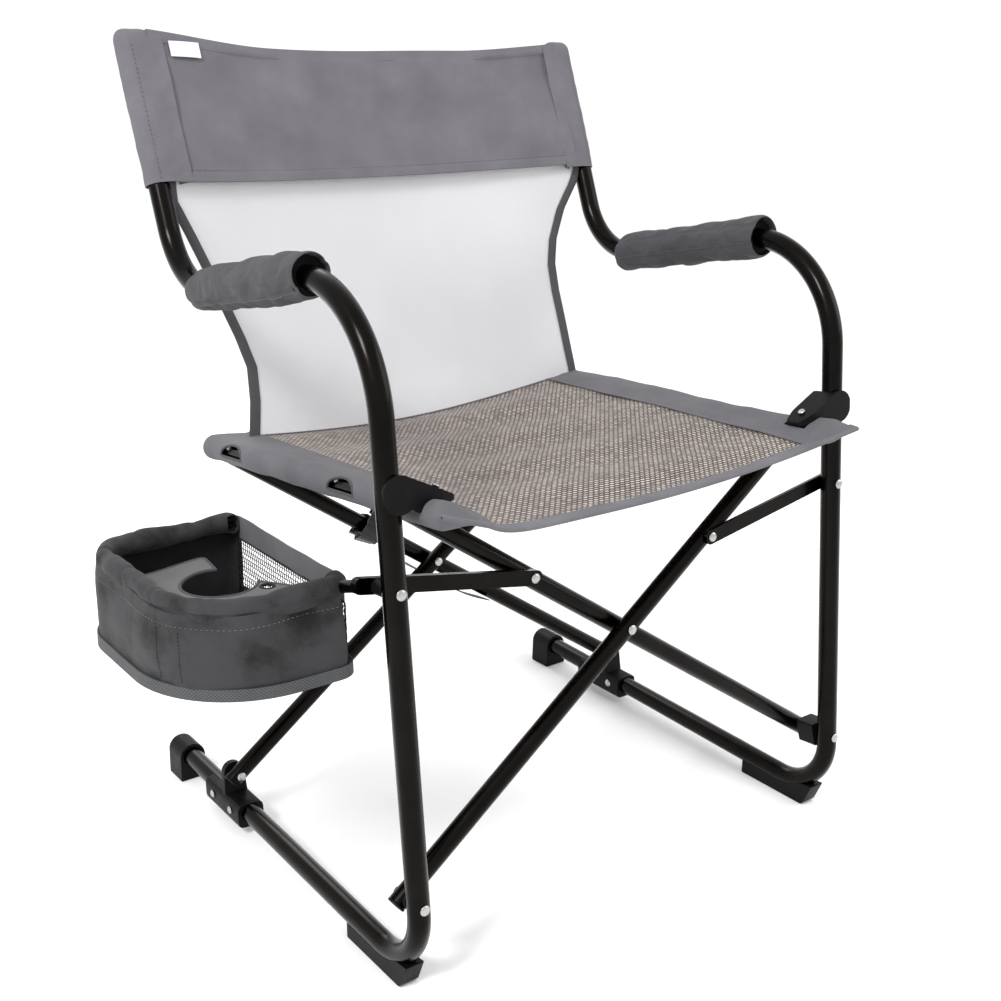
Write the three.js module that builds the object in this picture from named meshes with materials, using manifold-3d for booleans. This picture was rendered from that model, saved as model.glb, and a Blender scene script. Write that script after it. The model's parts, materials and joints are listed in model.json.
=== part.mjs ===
// Folding camp armchair with a side basket, in millimetres, +Z up, +Y to the back.
// Two bent side frames carry a front and a rear scissor of crossed tubes. The scissors end in
// two seat rails. The seat, the back, the sleeves and the basket are plain closed solids.
import * as THREE from 'three';
import { mergeVertices } from 'three/addons/utils/BufferGeometryUtils.js';
import Module from 'manifold-3d';

const wasm = await Module();
wasm.setup();

// ---------------------------------------------------------------- driving dimensions
const HALF_WIDTH = 279;          // side frame plane from the chair's middle
const FRAME_R = 11;              // side tube, 22 mm
const CROSS_R = 9.5;             // cross tubes and seat rails, 19 mm
const WALL = 1.5;
const GAP = 0.3;                 // between pieces that touch
const LEAN = Math.atan(0.0922);  // the legs and the scissor pivots lean back together

const REAR_TIP = [66, 30.2];     // [y, z] of the side tube's ends and bend corners
const FRONT_CORNER = [-470, 19.7];
const ARM_CORNER = [-410.5, 665.6];
const BACK_CORNER = [-36.7, 595.9];
const POST_TIP = [54.9, 832];
const BEND_RADII = [63, 113, 80];
const BEND_STEPS = 8;

const PIVOT_Y = -462.95;         // leg axis at the height of the lower pivots
const PIVOT_Z = 97.3;
const CENTRE_N = 193;            // scissor centre above the lower pivots
const FRONT_MID_D = 34.7;        // front scissor's middle plane behind the leg axis
const REAR_MID_D = 387;
const SCISSOR_STEP = 2 * CROSS_R + 0.5;
const FOOT_STUB = 9;             // cross tube below its lower pivot
const RAIL_X = 243;
const RAIL_N = 364;
const RAIL_FRONT_D = -28;
const RAIL_BACK_D = 421;
const LINK_PIVOT_N = 298.8;      // link pivot on the leg
const LINK_REACH = 133;          // link pivot on the cross tube, from the scissor centre

const PIN_R = 2.6;
const HEAD_R = 5.5;
const HEAD_T = 2.4;

// ---------------------------------------------------------------- materials
const material = (color, roughness, metalness = 0) => (
  new THREE.MeshStandardMaterial({ color, roughness, metalness })
);
const BRONZE = material('#4d4643', 0.4, 0.7);
const ZINC = material('#d8d8d6', 0.35, 0.9);
const BLACK_PLASTIC = material('#232326', 0.6);
const GREY_CLOTH = material('#76777c', 0.95);
const SEAT_WEAVE = material('#8c8078', 0.9);
const WHITE_MESH = material('#e6e8ea', 0.9);
const FOAM = material('#3a3a3c', 1.0);
const WEBBING = material('#1d1d1f', 0.9);

// ---------------------------------------------------------------- solids
function solid(geometry) {
  const plain = geometry.clone();
  plain.deleteAttribute('normal');
  plain.deleteAttribute('uv');
  const merged = mergeVertices(plain, 1e-4);
  return new wasm.Manifold(new wasm.Mesh({
    numProp: 3,
    vertProperties: new Float32Array(merged.attributes.position.array),
    triVerts: new Uint32Array(merged.index.array),
  }));
}

function geometryOf(body) {
  const mesh = body.getMesh();
  const geometry = new THREE.BufferGeometry();
  geometry.setAttribute('position', new THREE.BufferAttribute(mesh.vertProperties, 3));
  geometry.setIndex(new THREE.BufferAttribute(mesh.triVerts, 1));
  geometry.computeVertexNormals();
  return geometry;
}

function combine(operation, geometry, others) {
  const start = solid(geometry);
  return geometryOf(others.reduce((body, other) => body[operation](solid(other)), start));
}

const cut = (geometry, ...tools) => combine('subtract', geometry, tools);
const join = (geometry, ...others) => combine('add', geometry, others);
const common = (geometry, ...others) => combine('intersect', geometry, others);

// ---------------------------------------------------------------- shapes
const V = (x, y, z) => new THREE.Vector3(x, y, z);

function circle(radius, sides) {
  return Array.from({ length: sides }, (_, i) => {
    const angle = (2 * Math.PI * i) / sides;
    return new THREE.Vector2(radius * Math.cos(angle), radius * Math.sin(angle));
  });
}

function disc(radius, sides = 16) {
  return new THREE.Shape(circle(radius, sides));
}

function ring(outer, inner, outerSides = 16, innerSides = 8) {
  const shape = disc(outer, outerSides);
  shape.holes.push(new THREE.Path(circle(inner, innerSides).reverse()));
  return shape;
}

function straightRun(from, to) {
  return { steps: 1, at: (u) => from.clone().lerp(to, u) };
}

// A path of straight runs joined by round bends: one step for a run and a few for a bend.
class BentPath extends THREE.Curve {
  constructor(corners, radii, bendSteps) {
    super();
    this.pieces = [];
    let from = corners[0];
    radii.forEach((radius, i) => {
      const corner = corners[i + 1];
      const into = corner.clone().sub(corners[i]).normalize();
      const out = corners[i + 2].clone().sub(corner).normalize();
      const turn = into.angleTo(out);
      const setback = radius * Math.tan(turn / 2);
      const start = corner.clone().addScaledVector(into, -setback);
      const side = out.clone().addScaledVector(into, -into.dot(out)).normalize();
      const centre = start.clone().addScaledVector(side, radius);
      const bend = (u) => centre.clone()
        .addScaledVector(side, -radius * Math.cos(u * turn))
        .addScaledVector(into, radius * Math.sin(u * turn));
      this.pieces.push(straightRun(from, start), { steps: bendSteps, at: bend });
      from = corner.clone().addScaledVector(out, setback);
    });
    this.pieces.push(straightRun(from, corners[corners.length - 1]));
    this.steps = this.pieces.reduce((sum, piece) => sum + piece.steps, 0);
  }

  getUtoTmapping(u) {
    return u;
  }

  getPoint(t) {
    let along = t * this.steps;
    const last = this.pieces.length - 1;
    for (let i = 0; i < last; i += 1) {
      if (along <= this.pieces[i].steps) return this.pieces[i].at(along / this.pieces[i].steps);
      along -= this.pieces[i].steps;
    }
    return this.pieces[last].at(along);
  }
}

function sweep(path, shape) {
  return new THREE.ExtrudeGeometry(shape, { extrudePath: path, steps: path.steps });
}

// A round bar or pipe of the given section between two points.
function bar(from, to, shape) {
  const along = to.clone().sub(from);
  const geometry = new THREE.ExtrudeGeometry(shape, { depth: along.length(), bevelEnabled: false });
  const turn = new THREE.Quaternion().setFromUnitVectors(V(0, 0, 1), along.normalize());
  return geometry.applyQuaternion(turn).translate(from.x, from.y, from.z);
}

const rod = (from, to, radius, sides) => bar(from, to, disc(radius, sides));
const pipe = (from, to, outer, inner) => bar(from, to, ring(outer, inner));
const sleeve = (from, to, outer, inner) => bar(from, to, ring(outer, inner, 16, 16));

function block(x0, x1, y0, y1, z0, z1) {
  return new THREE.BoxGeometry(x1 - x0, y1 - y0, z1 - z0)
    .translate((x0 + x1) / 2, (y0 + y1) / 2, (z0 + z1) / 2);
}

// An outline through [u, v] corners, each rounded by its own radius or by one for all.
function rounded(corners, radii) {
  const shape = new THREE.Shape();
  const points = corners.map(([u, v]) => new THREE.Vector2(u, v));
  const count = points.length;
  points.forEach((corner, i) => {
    const radius = Array.isArray(radii) ? radii[i] : radii;
    const before = points[(i + count - 1) % count].clone().sub(corner).setLength(radius);
    const after = points[(i + 1) % count].clone().sub(corner).setLength(radius);
    const enter = corner.clone().add(before);
    const leave = corner.clone().add(after);
    if (i === 0) shape.moveTo(enter.x, enter.y);
    else shape.lineTo(enter.x, enter.y);
    if (radius > 0) shape.quadraticCurveTo(corner.x, corner.y, leave.x, leave.y);
  });
  shape.closePath();
  return shape;
}

// An outline in x and z, made solid from y0 to y1.
function alongY(shape, y0, y1, curveSegments = 4) {
  return new THREE.ExtrudeGeometry(shape, { depth: y1 - y0, bevelEnabled: false, curveSegments })
    .rotateX(Math.PI / 2)
    .translate(0, y1, 0);
}

// An outline in y and z, made solid over a width centred on x.
function alongX(shape, x, width, curveSegments = 4) {
  return new THREE.ExtrudeGeometry(shape, { depth: width, bevelEnabled: false, curveSegments })
    .rotateY(Math.PI / 2)
    .rotateX(Math.PI / 2)
    .translate(x - width / 2, 0, 0);
}

// An outline in x and y, made solid from z0 to z1.
function alongZ(shape, z0, z1, curveSegments = 4) {
  return new THREE.ExtrudeGeometry(shape, { depth: z1 - z0, bevelEnabled: false, curveSegments })
    .translate(0, 0, z0);
}

// The same solid on the other side of the chair's middle plane.
function mirrored(geometry) {
  const flipped = geometry.index ? geometry.clone() : mergeVertices(geometry);
  flipped.scale(-1, 1, 1);
  const index = flipped.index.array;
  for (let i = 0; i < index.length; i += 3) [index[i], index[i + 1]] = [index[i + 1], index[i]];
  flipped.computeVertexNormals();
  return flipped;
}

const onSide = (side, geometry) => (side > 0 ? geometry : mirrored(geometry));

// ---------------------------------------------------------------- scene graph
const chair = new THREE.Group();

// A tilted layout: local z runs up along it and local y runs to its back.
function tilted(y, z, lean) {
  const group = new THREE.Group();
  group.position.set(0, y, z);
  group.rotation.x = -lean;
  group.updateMatrix();
  chair.add(group);
  return group;
}

// Everything on the leaning pivots is laid out as (x, d, n): d runs back along the pivots from
// the leg axis and n runs up along the leg from the lower pivots.
const leaning = tilted(PIVOT_Y, PIVOT_Z, LEAN);
const inChair = (geometry) => geometry.clone().applyMatrix4(leaning.matrix);

function place(parent, name, geometry, look) {
  const mesh = new THREE.Mesh(geometry, look);
  mesh.name = name;
  parent.add(mesh);
}

const sideName = (side) => (side < 0 ? 'left' : 'right');

// ---------------------------------------------------------------- scissor layout
const crossAngle = Math.atan2(CENTRE_N, HALF_WIDTH);
const linkX = LINK_REACH * Math.cos(crossAngle);
const linkN = CENTRE_N + LINK_REACH * Math.sin(crossAngle);

// The tube that stands on the left foot is the near one in each scissor.
const frontD = (side) => FRONT_MID_D + (side * SCISSOR_STEP) / 2;
const rearD = (side) => REAR_MID_D + (side * SCISSOR_STEP) / 2;

// ---------------------------------------------------------------- fasteners
// A rivet along d through the faces at d0 and d1, with a round head outside each.
function rivet(x, n, d0, d1) {
  const half = [[HEAD_R * 0.6, HEAD_T], [HEAD_R, HEAD_T * 0.35], [HEAD_R, GAP], [PIN_R, GAP]];
  const profile = [
    new THREE.Vector2(0, d0 - HEAD_T),
    ...half.map(([r, out]) => new THREE.Vector2(r, d0 - out)),
    ...half.reverse().map(([r, out]) => new THREE.Vector2(r, d1 + out)),
    new THREE.Vector2(0, d1 + HEAD_T),
  ];
  return new THREE.LatheGeometry(profile, 12).translate(x, 0, n);
}

// A rivet with a head in front of the face at d0 and a shank that ends at d1.
function stud(x, n, d0, d1) {
  const profile = [
    [0, d0 - HEAD_T], [HEAD_R * 0.6, d0 - HEAD_T], [HEAD_R, d0 - HEAD_T * 0.35], [HEAD_R, d0 - GAP],
    [PIN_R, d0 - GAP], [PIN_R, d1], [0, d1],
  ].map(([r, d]) => new THREE.Vector2(r, d));
  return new THREE.LatheGeometry(profile, 12).translate(x, 0, n);
}

const bore = (x, n, d0, d1) => rod(V(x, d0, n), V(x, d1, n), PIN_R + GAP, 12);

// ---------------------------------------------------------------- side frames
const yz = (x, [y, z]) => V(x, y, z);

function sidePath(x) {
  const corners = [REAR_TIP, FRONT_CORNER, ARM_CORNER, BACK_CORNER, POST_TIP];
  return new BentPath(corners.map((corner) => yz(x, corner)), BEND_RADII, BEND_STEPS);
}

const clearance = (x) => sweep(sidePath(x), disc(FRAME_R + GAP));

function sideTube(x) {
  const holes = [0, LINK_PIVOT_N].map((n) => inChair(bore(x, n, -30, 30)));
  return cut(sweep(sidePath(x), ring(FRAME_R, FRAME_R - WALL)), ...holes);
}

const FOOT_FRONT_Y = 40;
const FOOT_BACK_Y = 75;
const FOOT_HALF_W = 15.5;
const FOOT_TOP = 45.5;

function rearFoot(x) {
  const arch = new THREE.Shape();
  arch.moveTo(-FOOT_HALF_W - 1, 0);
  arch.lineTo(FOOT_HALF_W + 1, 0);
  arch.lineTo(FOOT_HALF_W, FOOT_TOP - FOOT_HALF_W);
  arch.absarc(0, FOOT_TOP - FOOT_HALF_W, FOOT_HALF_W, 0, Math.PI, false);
  arch.closePath();
  const cap = alongY(arch, FOOT_FRONT_Y, FOOT_BACK_Y, 10).translate(x, 0, 0);
  return cut(cap, clearance(x));
}

const PAD_WIDTH = 20;
const PAD_BACK_Y = -345;
const PAD_FRONT_Y = -443;

function frontPad(x) {
  const corners = [[PAD_BACK_Y, 0], [PAD_BACK_Y, 17], [PAD_FRONT_Y - 12, 28], [PAD_FRONT_Y, 0]];
  return cut(alongX(rounded(corners, [1, 1, 1, 5]), x, PAD_WIDTH), clearance(x));
}

const ARM_FRONT_Y = -313;
const ARM_BACK_Y = -88;
const FOAM_R = 19.5;
const COVER_R = 21.5;

function onArm(x, y) {
  const slope = (BACK_CORNER[1] - ARM_CORNER[1]) / (BACK_CORNER[0] - ARM_CORNER[0]);
  return V(x, y, ARM_CORNER[1] + slope * (y - ARM_CORNER[0]));
}

function armFoam(x) {
  return cut(rod(onArm(x, ARM_FRONT_Y + 2), onArm(x, ARM_BACK_Y - 2), FOAM_R), clearance(x));
}

function armCover(x) {
  return bar(onArm(x, ARM_FRONT_Y), onArm(x, ARM_BACK_Y), ring(COVER_R, FOAM_R + 2 * GAP, 20, 16));
}

for (const side of [-1, 1]) {
  const x = side * HALF_WIDTH;
  const name = sideName(side);
  place(chair, `side_frame_${name}`, sideTube(x), BRONZE);
  place(chair, `rear_foot_${name}`, rearFoot(x), BLACK_PLASTIC);
  place(chair, `front_foot_${name}`, frontPad(x), BLACK_PLASTIC);
  place(chair, `arm_foam_${name}`, armFoam(x), FOAM);
  place(chair, `arm_cover_${name}`, armCover(x), GREY_CLOTH);
}

// ---------------------------------------------------------------- rear brackets
const BRACKET_Y = [-115, -30];
const BRACKET_Z = [10, 38.5];
const BRACKET_HALF_W = 15.5;
const EAR_T = 8;
const EAR_R = 12;
const BRACKET_SCREWS_Y = [-95, -50];

// The left ear stands behind its tube and the right ear in front of its tube.
const earD = (side) => rearD(side) - side * (CROSS_R + GAP + EAR_T / 2);

function rearBracket(side) {
  const x = side * HALF_WIDTH;
  const [low, high] = BRACKET_Z;
  const w = BRACKET_HALF_W;
  const outline = rounded([[-w, low], [w, low], [w, high], [-w, high]], 8);
  const clamp = alongY(outline, ...BRACKET_Y, 3).translate(x, 0, 0);
  const ear = new THREE.Shape();
  ear.moveTo(-EAR_R - 2, -32);
  ear.lineTo(EAR_R + 2, -32);
  ear.lineTo(EAR_R, 0);
  ear.absarc(0, 0, EAR_R, 0, Math.PI, false);
  ear.closePath();
  const plate = alongY(ear, earD(side) - EAR_T / 2, earD(side) + EAR_T / 2, 8).translate(x, 0, 0);
  const pivotHole = bore(x, 0, REAR_MID_D - 20, REAR_MID_D + 20);
  return cut(join(clamp, inChair(plate)), clearance(x), inChair(pivotHole));
}

function bracketScrew(side, y) {
  const outer = side * (HALF_WIDTH + BRACKET_HALF_W);
  const profile = [[0, 0], [5, 0], [4.6, 1.2], [2.6, 2.3], [0, 2.6]];
  const head = new THREE.LatheGeometry(profile.map(([r, h]) => new THREE.Vector2(r, h)), 12);
  head.rotateZ((-side * Math.PI) / 2);
  return head.translate(outer + side * GAP, y, (BRACKET_Z[0] + BRACKET_Z[1]) / 2 + 2);
}

for (const side of [-1, 1]) {
  place(chair, `rear_bracket_${sideName(side)}`, rearBracket(side), BLACK_PLASTIC);
  BRACKET_SCREWS_Y.forEach((y, i) => {
    place(chair, `bracket_screw_${sideName(side)}_${i + 1}`, bracketScrew(side, y), ZINC);
  });
}

// ---------------------------------------------------------------- cross tubes
// side is where the tube's foot stands; it rises to the seat rail on the other side.
function alongTube(side, d, distance) {
  const x = side * (HALF_WIDTH - distance * Math.cos(crossAngle));
  return V(x, d, distance * Math.sin(crossAngle));
}

const TUBE_LENGTH = (HALF_WIDTH + RAIL_X) / Math.cos(crossAngle);

function crossTube(side, d, pivots) {
  const body = pipe(alongTube(side, d, -FOOT_STUB), alongTube(side, d, TUBE_LENGTH + 2),
    CROSS_R, CROSS_R - WALL);
  const railX = -side * RAIL_X;
  const rail = rod(V(railX, d - 30, RAIL_N), V(railX, d + 30, RAIL_N), CROSS_R + GAP);
  return cut(body, rail, ...pivots.map(([x, n]) => bore(x, n, d - 20, d + 20)));
}

function footPlug(side, d) {
  const at = (distance) => alongTube(side, d, -FOOT_STUB - distance);
  return join(rod(at(GAP), at(2.8), CROSS_R), rod(at(-5), at(2.8), CROSS_R - WALL - 1, 8));
}

for (const side of [-1, 1]) {
  const name = sideName(side);
  const foot = [side * HALF_WIDTH, 0];
  const centre = [0, CENTRE_N];
  const front = frontD(side);
  const rear = rearD(side);
  place(leaning, `front_cross_tube_${name}`, crossTube(side, front, [foot, centre]), BRONZE);
  place(leaning, `rear_cross_tube_${name}`, crossTube(side, rear, [foot, centre]), BRONZE);
  place(leaning, `front_tube_plug_${name}`, footPlug(side, front), BLACK_PLASTIC);
  place(leaning, `rear_tube_plug_${name}`, footPlug(side, rear), BLACK_PLASTIC);
  place(leaning, `front_foot_rivet_${name}`, rivet(...foot, -FRAME_R, front + CROSS_R), ZINC);
  const earFace = earD(side) - side * (EAR_T / 2);
  const tubeFace = rear + side * CROSS_R;
  const rearSpan = [earFace, tubeFace].sort((a, b) => a - b);
  place(leaning, `rear_foot_rivet_${name}`, rivet(...foot, ...rearSpan), ZINC);
}

const scissorSpan = (d) => [d(-1) - CROSS_R, d(1) + CROSS_R];
place(leaning, 'front_centre_rivet', rivet(0, CENTRE_N, ...scissorSpan(frontD)), ZINC);
place(leaning, 'rear_centre_rivet', rivet(0, CENTRE_N, ...scissorSpan(rearD)), ZINC);

// ---------------------------------------------------------------- spacers at the legs
const LEG_BACK_D = FRAME_R + GAP;

function washer(x, n, d0, d1, radius) {
  return bar(V(x, d0, n), V(x, d1, n), ring(radius, PIN_R + GAP, 16, 12));
}

// A block that is wide at the top and narrows downwards.
function footBlock(x, d0, d1) {
  const outline = rounded([[-8, -15], [8, -15], [14, 13], [-14, 13]], 3);
  const plain = cut(alongY(outline, d0, d1, 3).translate(x, 0, 0), bore(x, 0, d0 - 5, d1 + 5));
  return cut(inChair(plain), clearance(x));
}

place(leaning, 'front_foot_washer_left',
  washer(-HALF_WIDTH, 0, LEG_BACK_D, frontD(-1) - CROSS_R - GAP, 8), BLACK_PLASTIC);
place(chair, 'front_foot_spacer_right',
  footBlock(HALF_WIDTH, LEG_BACK_D, frontD(1) - CROSS_R - GAP), BLACK_PLASTIC);

// ---------------------------------------------------------------- seat rails
function seatRail(side) {
  const x = side * RAIL_X;
  const plain = pipe(V(x, RAIL_FRONT_D, RAIL_N), V(x, RAIL_BACK_D, RAIL_N), CROSS_R, CROSS_R - WALL);
  return cut(plain, clipScrewRod(side, 5, 20, CLIP_SCREW_R + GAP));
}

// ---------------------------------------------------------------- seat rail clips
// A saddle on the rail that takes the leg from the inside. Its front lobe reaches past the
// leg; its rear lobe is short so that it passes the arm when the chair folds.
const CLIP_SCREW_R = 2;
const CLIP_SCREW_LEAN = 0.55;
const CLIP_PLATE_OUT = 21;        // top of the clip's plate from the rail's axis
const SLEEVE_IN_R = CROSS_R + 2 * GAP;
const SLEEVE_OUT_R = 12;

function clipScrewRod(side, from, to, radius) {
  const at = (out) => V(
    side * (RAIL_X - out * Math.sin(CLIP_SCREW_LEAN)), 0, RAIL_N + out * Math.cos(CLIP_SCREW_LEAN));
  return rod(at(from), at(to), radius, 10);
}

function clip(side) {
  const legFace = HALF_WIDTH - FRAME_R - GAP;
  const plan = rounded([
    [RAIL_X - 26, -9], [RAIL_X - 10, -15], [HALF_WIDTH + 12, -15], [HALF_WIDTH + 12, -FRAME_R - GAP],
    [legFace, -FRAME_R - GAP], [legFace, FRAME_R + GAP], [legFace - 1, 15], [RAIL_X - 10, 15],
    [RAIL_X - 26, 9],
  ], [4, 4, 0, 0, 0, 0, 1, 4, 4]);
  const view = new THREE.Shape();
  view.moveTo(RAIL_X - 25, RAIL_N + 7);
  view.lineTo(RAIL_X + 16, RAIL_N + 3);
  view.absarc(HALF_WIDTH - 4, RAIL_N + 21, 17, -2.2, 2.1, false);
  view.lineTo(RAIL_X - 22, RAIL_N + 13);
  view.quadraticCurveTo(RAIL_X - 29, RAIL_N + 10, RAIL_X - 25, RAIL_N + 7);
  const body = common(alongZ(plan, RAIL_N - 5, RAIL_N + 45, 3), alongY(view, -20, 20, 10));
  const rail = rod(V(RAIL_X, -30, RAIL_N), V(RAIL_X, 30, RAIL_N), CROSS_R + GAP);
  return onSide(side, cut(body, rail, clipScrewRod(1, 0, 60, CLIP_SCREW_R + GAP)));
}

function clipScrew(side) {
  const shank = clipScrewRod(side, CROSS_R - 3, CLIP_PLATE_OUT + 4, CLIP_SCREW_R);
  return join(shank, clipScrewRod(side, CLIP_PLATE_OUT + 1, CLIP_PLATE_OUT + 4, 4.5));
}

function seatSleeve(side) {
  const x = side * RAIL_X;
  const whole = sleeve(V(x, RAIL_FRONT_D - 5, RAIL_N), V(x, RAIL_BACK_D + 5, RAIL_N),
    SLEEVE_OUT_R, SLEEVE_IN_R);
  const slit = block(x - 30, x + 30, -16, 16, RAIL_N + 1, RAIL_N + 30);
  const tubeWays = [frontD(-side), rearD(-side)].map((d) => (
    rod(alongTube(-side, d, TUBE_LENGTH - 60), alongTube(-side, d, TUBE_LENGTH + 6), CROSS_R + 1)
  ));
  return cut(whole, slit, ...tubeWays);
}

for (const side of [-1, 1]) {
  const name = sideName(side);
  place(leaning, `seat_rail_${name}`, seatRail(side), BRONZE);
  place(leaning, `seat_clip_${name}`, clip(side), BLACK_PLASTIC);
  place(leaning, `clip_screw_${name}`, clipScrew(side), ZINC);
  place(leaning, `seat_sleeve_${name}`, seatSleeve(side), GREY_CLOTH);
}

// ---------------------------------------------------------------- links and basket hoop
const LINK_HALF_W = 7.5;
const LINK_END = 8;               // past the pivot at the cross tube
const LEFT_LINK_OUT = 23;         // past the pivot at the leg, to hold the hoop
const LEFT_LINK_D = [frontD(1) - CROSS_R - GAP - 8, frontD(1) - CROSS_R - GAP];
const RIGHT_LINK_D = [LEG_BACK_D, frontD(-1) - CROSS_R - GAP];

// The bar is laid out on the left, from the cross tube's pivot to the leg's pivot.
function linkBar([d0, d1], legEnd) {
  const rise = Math.atan2(LINK_PIVOT_N - linkN, -HALF_WIDTH + linkX);
  const length = Math.hypot(HALF_WIDTH - linkX, LINK_PIVOT_N - linkN);
  const w = LINK_HALF_W;
  const end = length + legEnd;
  const outline = rounded([[-LINK_END, -w], [end, -w], [end, w], [-LINK_END, w]], 6);
  const plate = alongY(outline, d0, d1).rotateY(-rise).translate(-linkX, 0, linkN);
  const pivots = [bore(-linkX, linkN, d0 - 5, d1 + 5), bore(-HALF_WIDTH, LINK_PIVOT_N, d0 - 5, d1 + 5)];
  return cut(plate, ...pivots);
}

const HOOP_R = 6;
const HOOP_Z = 384;               // rim of the basket
const HOOP_IN_X = -296;
const HOOP_OUT_X = -437;
const HOOP_FRONT_Y = -371;
const HOOP_BACK_Y = -150;
const HOOP_CORNER_R = [14, 72, 45];   // at the chair in front, outside in front, outside behind

// The hoop starts in the end of the left link, just outside the leg.
function hoopPath() {
  const [d0, d1] = LEFT_LINK_D;
  const start = V(HOOP_IN_X + 3, (d0 + d1) / 2, LINK_PIVOT_N + 2).applyMatrix4(leaning.matrix);
  const corners = [
    start,
    V(HOOP_IN_X, HOOP_FRONT_Y, HOOP_Z),
    V(HOOP_OUT_X, HOOP_FRONT_Y, HOOP_Z),
    V(HOOP_OUT_X, HOOP_BACK_Y, HOOP_Z),
    V(HOOP_IN_X, HOOP_BACK_Y, HOOP_Z),
  ];
  return new BentPath(corners, HOOP_CORNER_R, 6);
}

function leftLink() {
  const hoop = sweep(hoopPath(), disc(HOOP_R, 12));
  return join(inChair(linkBar(LEFT_LINK_D, LEFT_LINK_OUT)), hoop);
}

place(chair, 'link_left', leftLink(), BRONZE);
place(leaning, 'link_right', mirrored(linkBar(RIGHT_LINK_D, LINK_END)), BRONZE);
place(leaning, 'link_spacer_left',
  washer(-HALF_WIDTH, LINK_PIVOT_N, LEG_BACK_D, LEFT_LINK_D[0] - GAP, 8), BLACK_PLASTIC);
place(leaning, 'link_leg_rivet_left', rivet(-HALF_WIDTH, LINK_PIVOT_N, -FRAME_R, LEFT_LINK_D[1]), ZINC);
place(leaning, 'link_leg_rivet_right', rivet(HALF_WIDTH, LINK_PIVOT_N, -FRAME_R, RIGHT_LINK_D[1]), ZINC);
place(leaning, 'link_tube_rivet_left', stud(-linkX, linkN, ...LEFT_LINK_D), ZINC);
place(leaning, 'link_tube_rivet_right', stud(linkX, linkN, ...RIGHT_LINK_D), ZINC);

// ---------------------------------------------------------------- basket
const BAG_WALL = 3;
const BAG_TOP = HOOP_Z - HOOP_R - 1;
const BAG_BOTTOM = 296;
const BAG_TAPER = 0.95;

function bagOutline(inset) {
  const inner = HOOP_IN_X + 8 - inset;
  const outer = HOOP_OUT_X - 8 + inset;
  const front = HOOP_FRONT_Y - 8 + inset;
  const back = HOOP_BACK_Y + 8 - inset;
  return rounded([[outer, back], [outer, front], [inner, front], [inner, back]],
    [62 - inset, 100 - inset, 16 - inset, 14 - inset]);
}

// Draws the solid in towards its own middle as it goes down.
function tapered(geometry) {
  const middleX = (HOOP_IN_X + HOOP_OUT_X) / 2;
  const middleY = (HOOP_FRONT_Y + HOOP_BACK_Y) / 2;
  const points = geometry.attributes.position;
  for (let i = 0; i < points.count; i += 1) {
    const down = (BAG_TOP - points.getZ(i)) / (BAG_TOP - BAG_BOTTOM);
    const scale = 1 + (BAG_TAPER - 1) * down;
    points.setX(i, middleX + (points.getX(i) - middleX) * scale);
    points.setY(i, middleY + (points.getY(i) - middleY) * scale);
  }
  return geometry;
}

function basketBag() {
  const outside = tapered(alongZ(bagOutline(0), BAG_BOTTOM, BAG_TOP, 8));
  const inside = tapered(alongZ(bagOutline(BAG_WALL), BAG_BOTTOM + BAG_WALL, BAG_TOP + 1, 8));
  return cut(outside, inside);
}

const SHELF_Z = 355;
const SHELF_T = 2.5;
const CUP_HOLE = [-350, -238, 36];      // [x, y, radius]; it opens into the notch at the back
const EYELET = [-317, -271, 6.5];
const SHELF_CORNERS = [
  [-520, -177], [-338, -177], [-338, -240], [-318, -254],
  [-286, -300], [-200, -300], [-200, -520], [-520, -520],
];

function cupShelf() {
  const plate = tapered(alongZ(bagOutline(BAG_WALL + 1), SHELF_Z, SHELF_Z + SHELF_T, 8));
  const cutLine = rounded(SHELF_CORNERS, [0, 4, 0, 4, 4, 0, 0, 0]);
  const keep = alongZ(cutLine, SHELF_Z - 5, SHELF_Z + 10);
  const holes = [CUP_HOLE, EYELET].map(([x, y, radius]) => (
    rod(V(x, y, SHELF_Z - 5), V(x, y, SHELF_Z + 10), radius, 28)));
  return cut(common(plate, keep), ...holes);
}

place(chair, 'basket_bag', basketBag(), GREY_CLOTH);
place(chair, 'basket_cup_shelf', cupShelf(), GREY_CLOTH);

// ---------------------------------------------------------------- seat cloth
const CLOTH_T = 2.5;
const SEAT_D = [-38, 400];
const SEAT_EDGE = [232, 374];      // [x, n] where the cloth meets the rail's sleeve
const SEAT_MIDDLE_N = 354;
const SEAM_GAP = 0.4;

// The right half of a sheet that sags from its edge at [x, n] to the chair's middle.
function halfSheet([edgeX, edgeN], middleN, y0, y1, thickness) {
  const h = thickness / 2;
  const outline = new THREE.Shape([
    [SEAM_GAP, middleN - h], [edgeX, edgeN - h], [edgeX, edgeN + h], [SEAM_GAP, middleN + h],
  ].map(([u, v]) => new THREE.Vector2(u, v)));
  return alongY(outline, y0, y1);
}

function seatHalf(side) {
  const sheet = halfSheet(SEAT_EDGE, SEAT_MIDDLE_N, ...SEAT_D, CLOTH_T);
  const clipRoom = block(RAIL_X - 28, RAIL_X, -16, 16, RAIL_N - 10, RAIL_N + 30);
  return onSide(side, cut(sheet, clipRoom));
}

for (const side of [-1, 1]) {
  place(leaning, `seat_cloth_${sideName(side)}`, seatHalf(side), SEAT_WEAVE);
}

// ---------------------------------------------------------------- back cloth
// Laid out as (x, r, s): s runs up along the back posts and r runs to the back.
const postLean = Math.atan2(POST_TIP[0] - BACK_CORNER[0], POST_TIP[1] - BACK_CORNER[1]);
const posts = tilted(...BACK_CORNER, postLean);
const BAND_S = [112, 264];
const BAND_SAG = 12;
const SLEEVE_R = 13.2;

function postSleeve(side) {
  const x = side * HALF_WIDTH;
  return sleeve(V(x, 0, BAND_S[0]), V(x, 0, BAND_S[1]), SLEEVE_R, FRAME_R + 2 * GAP);
}

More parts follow.
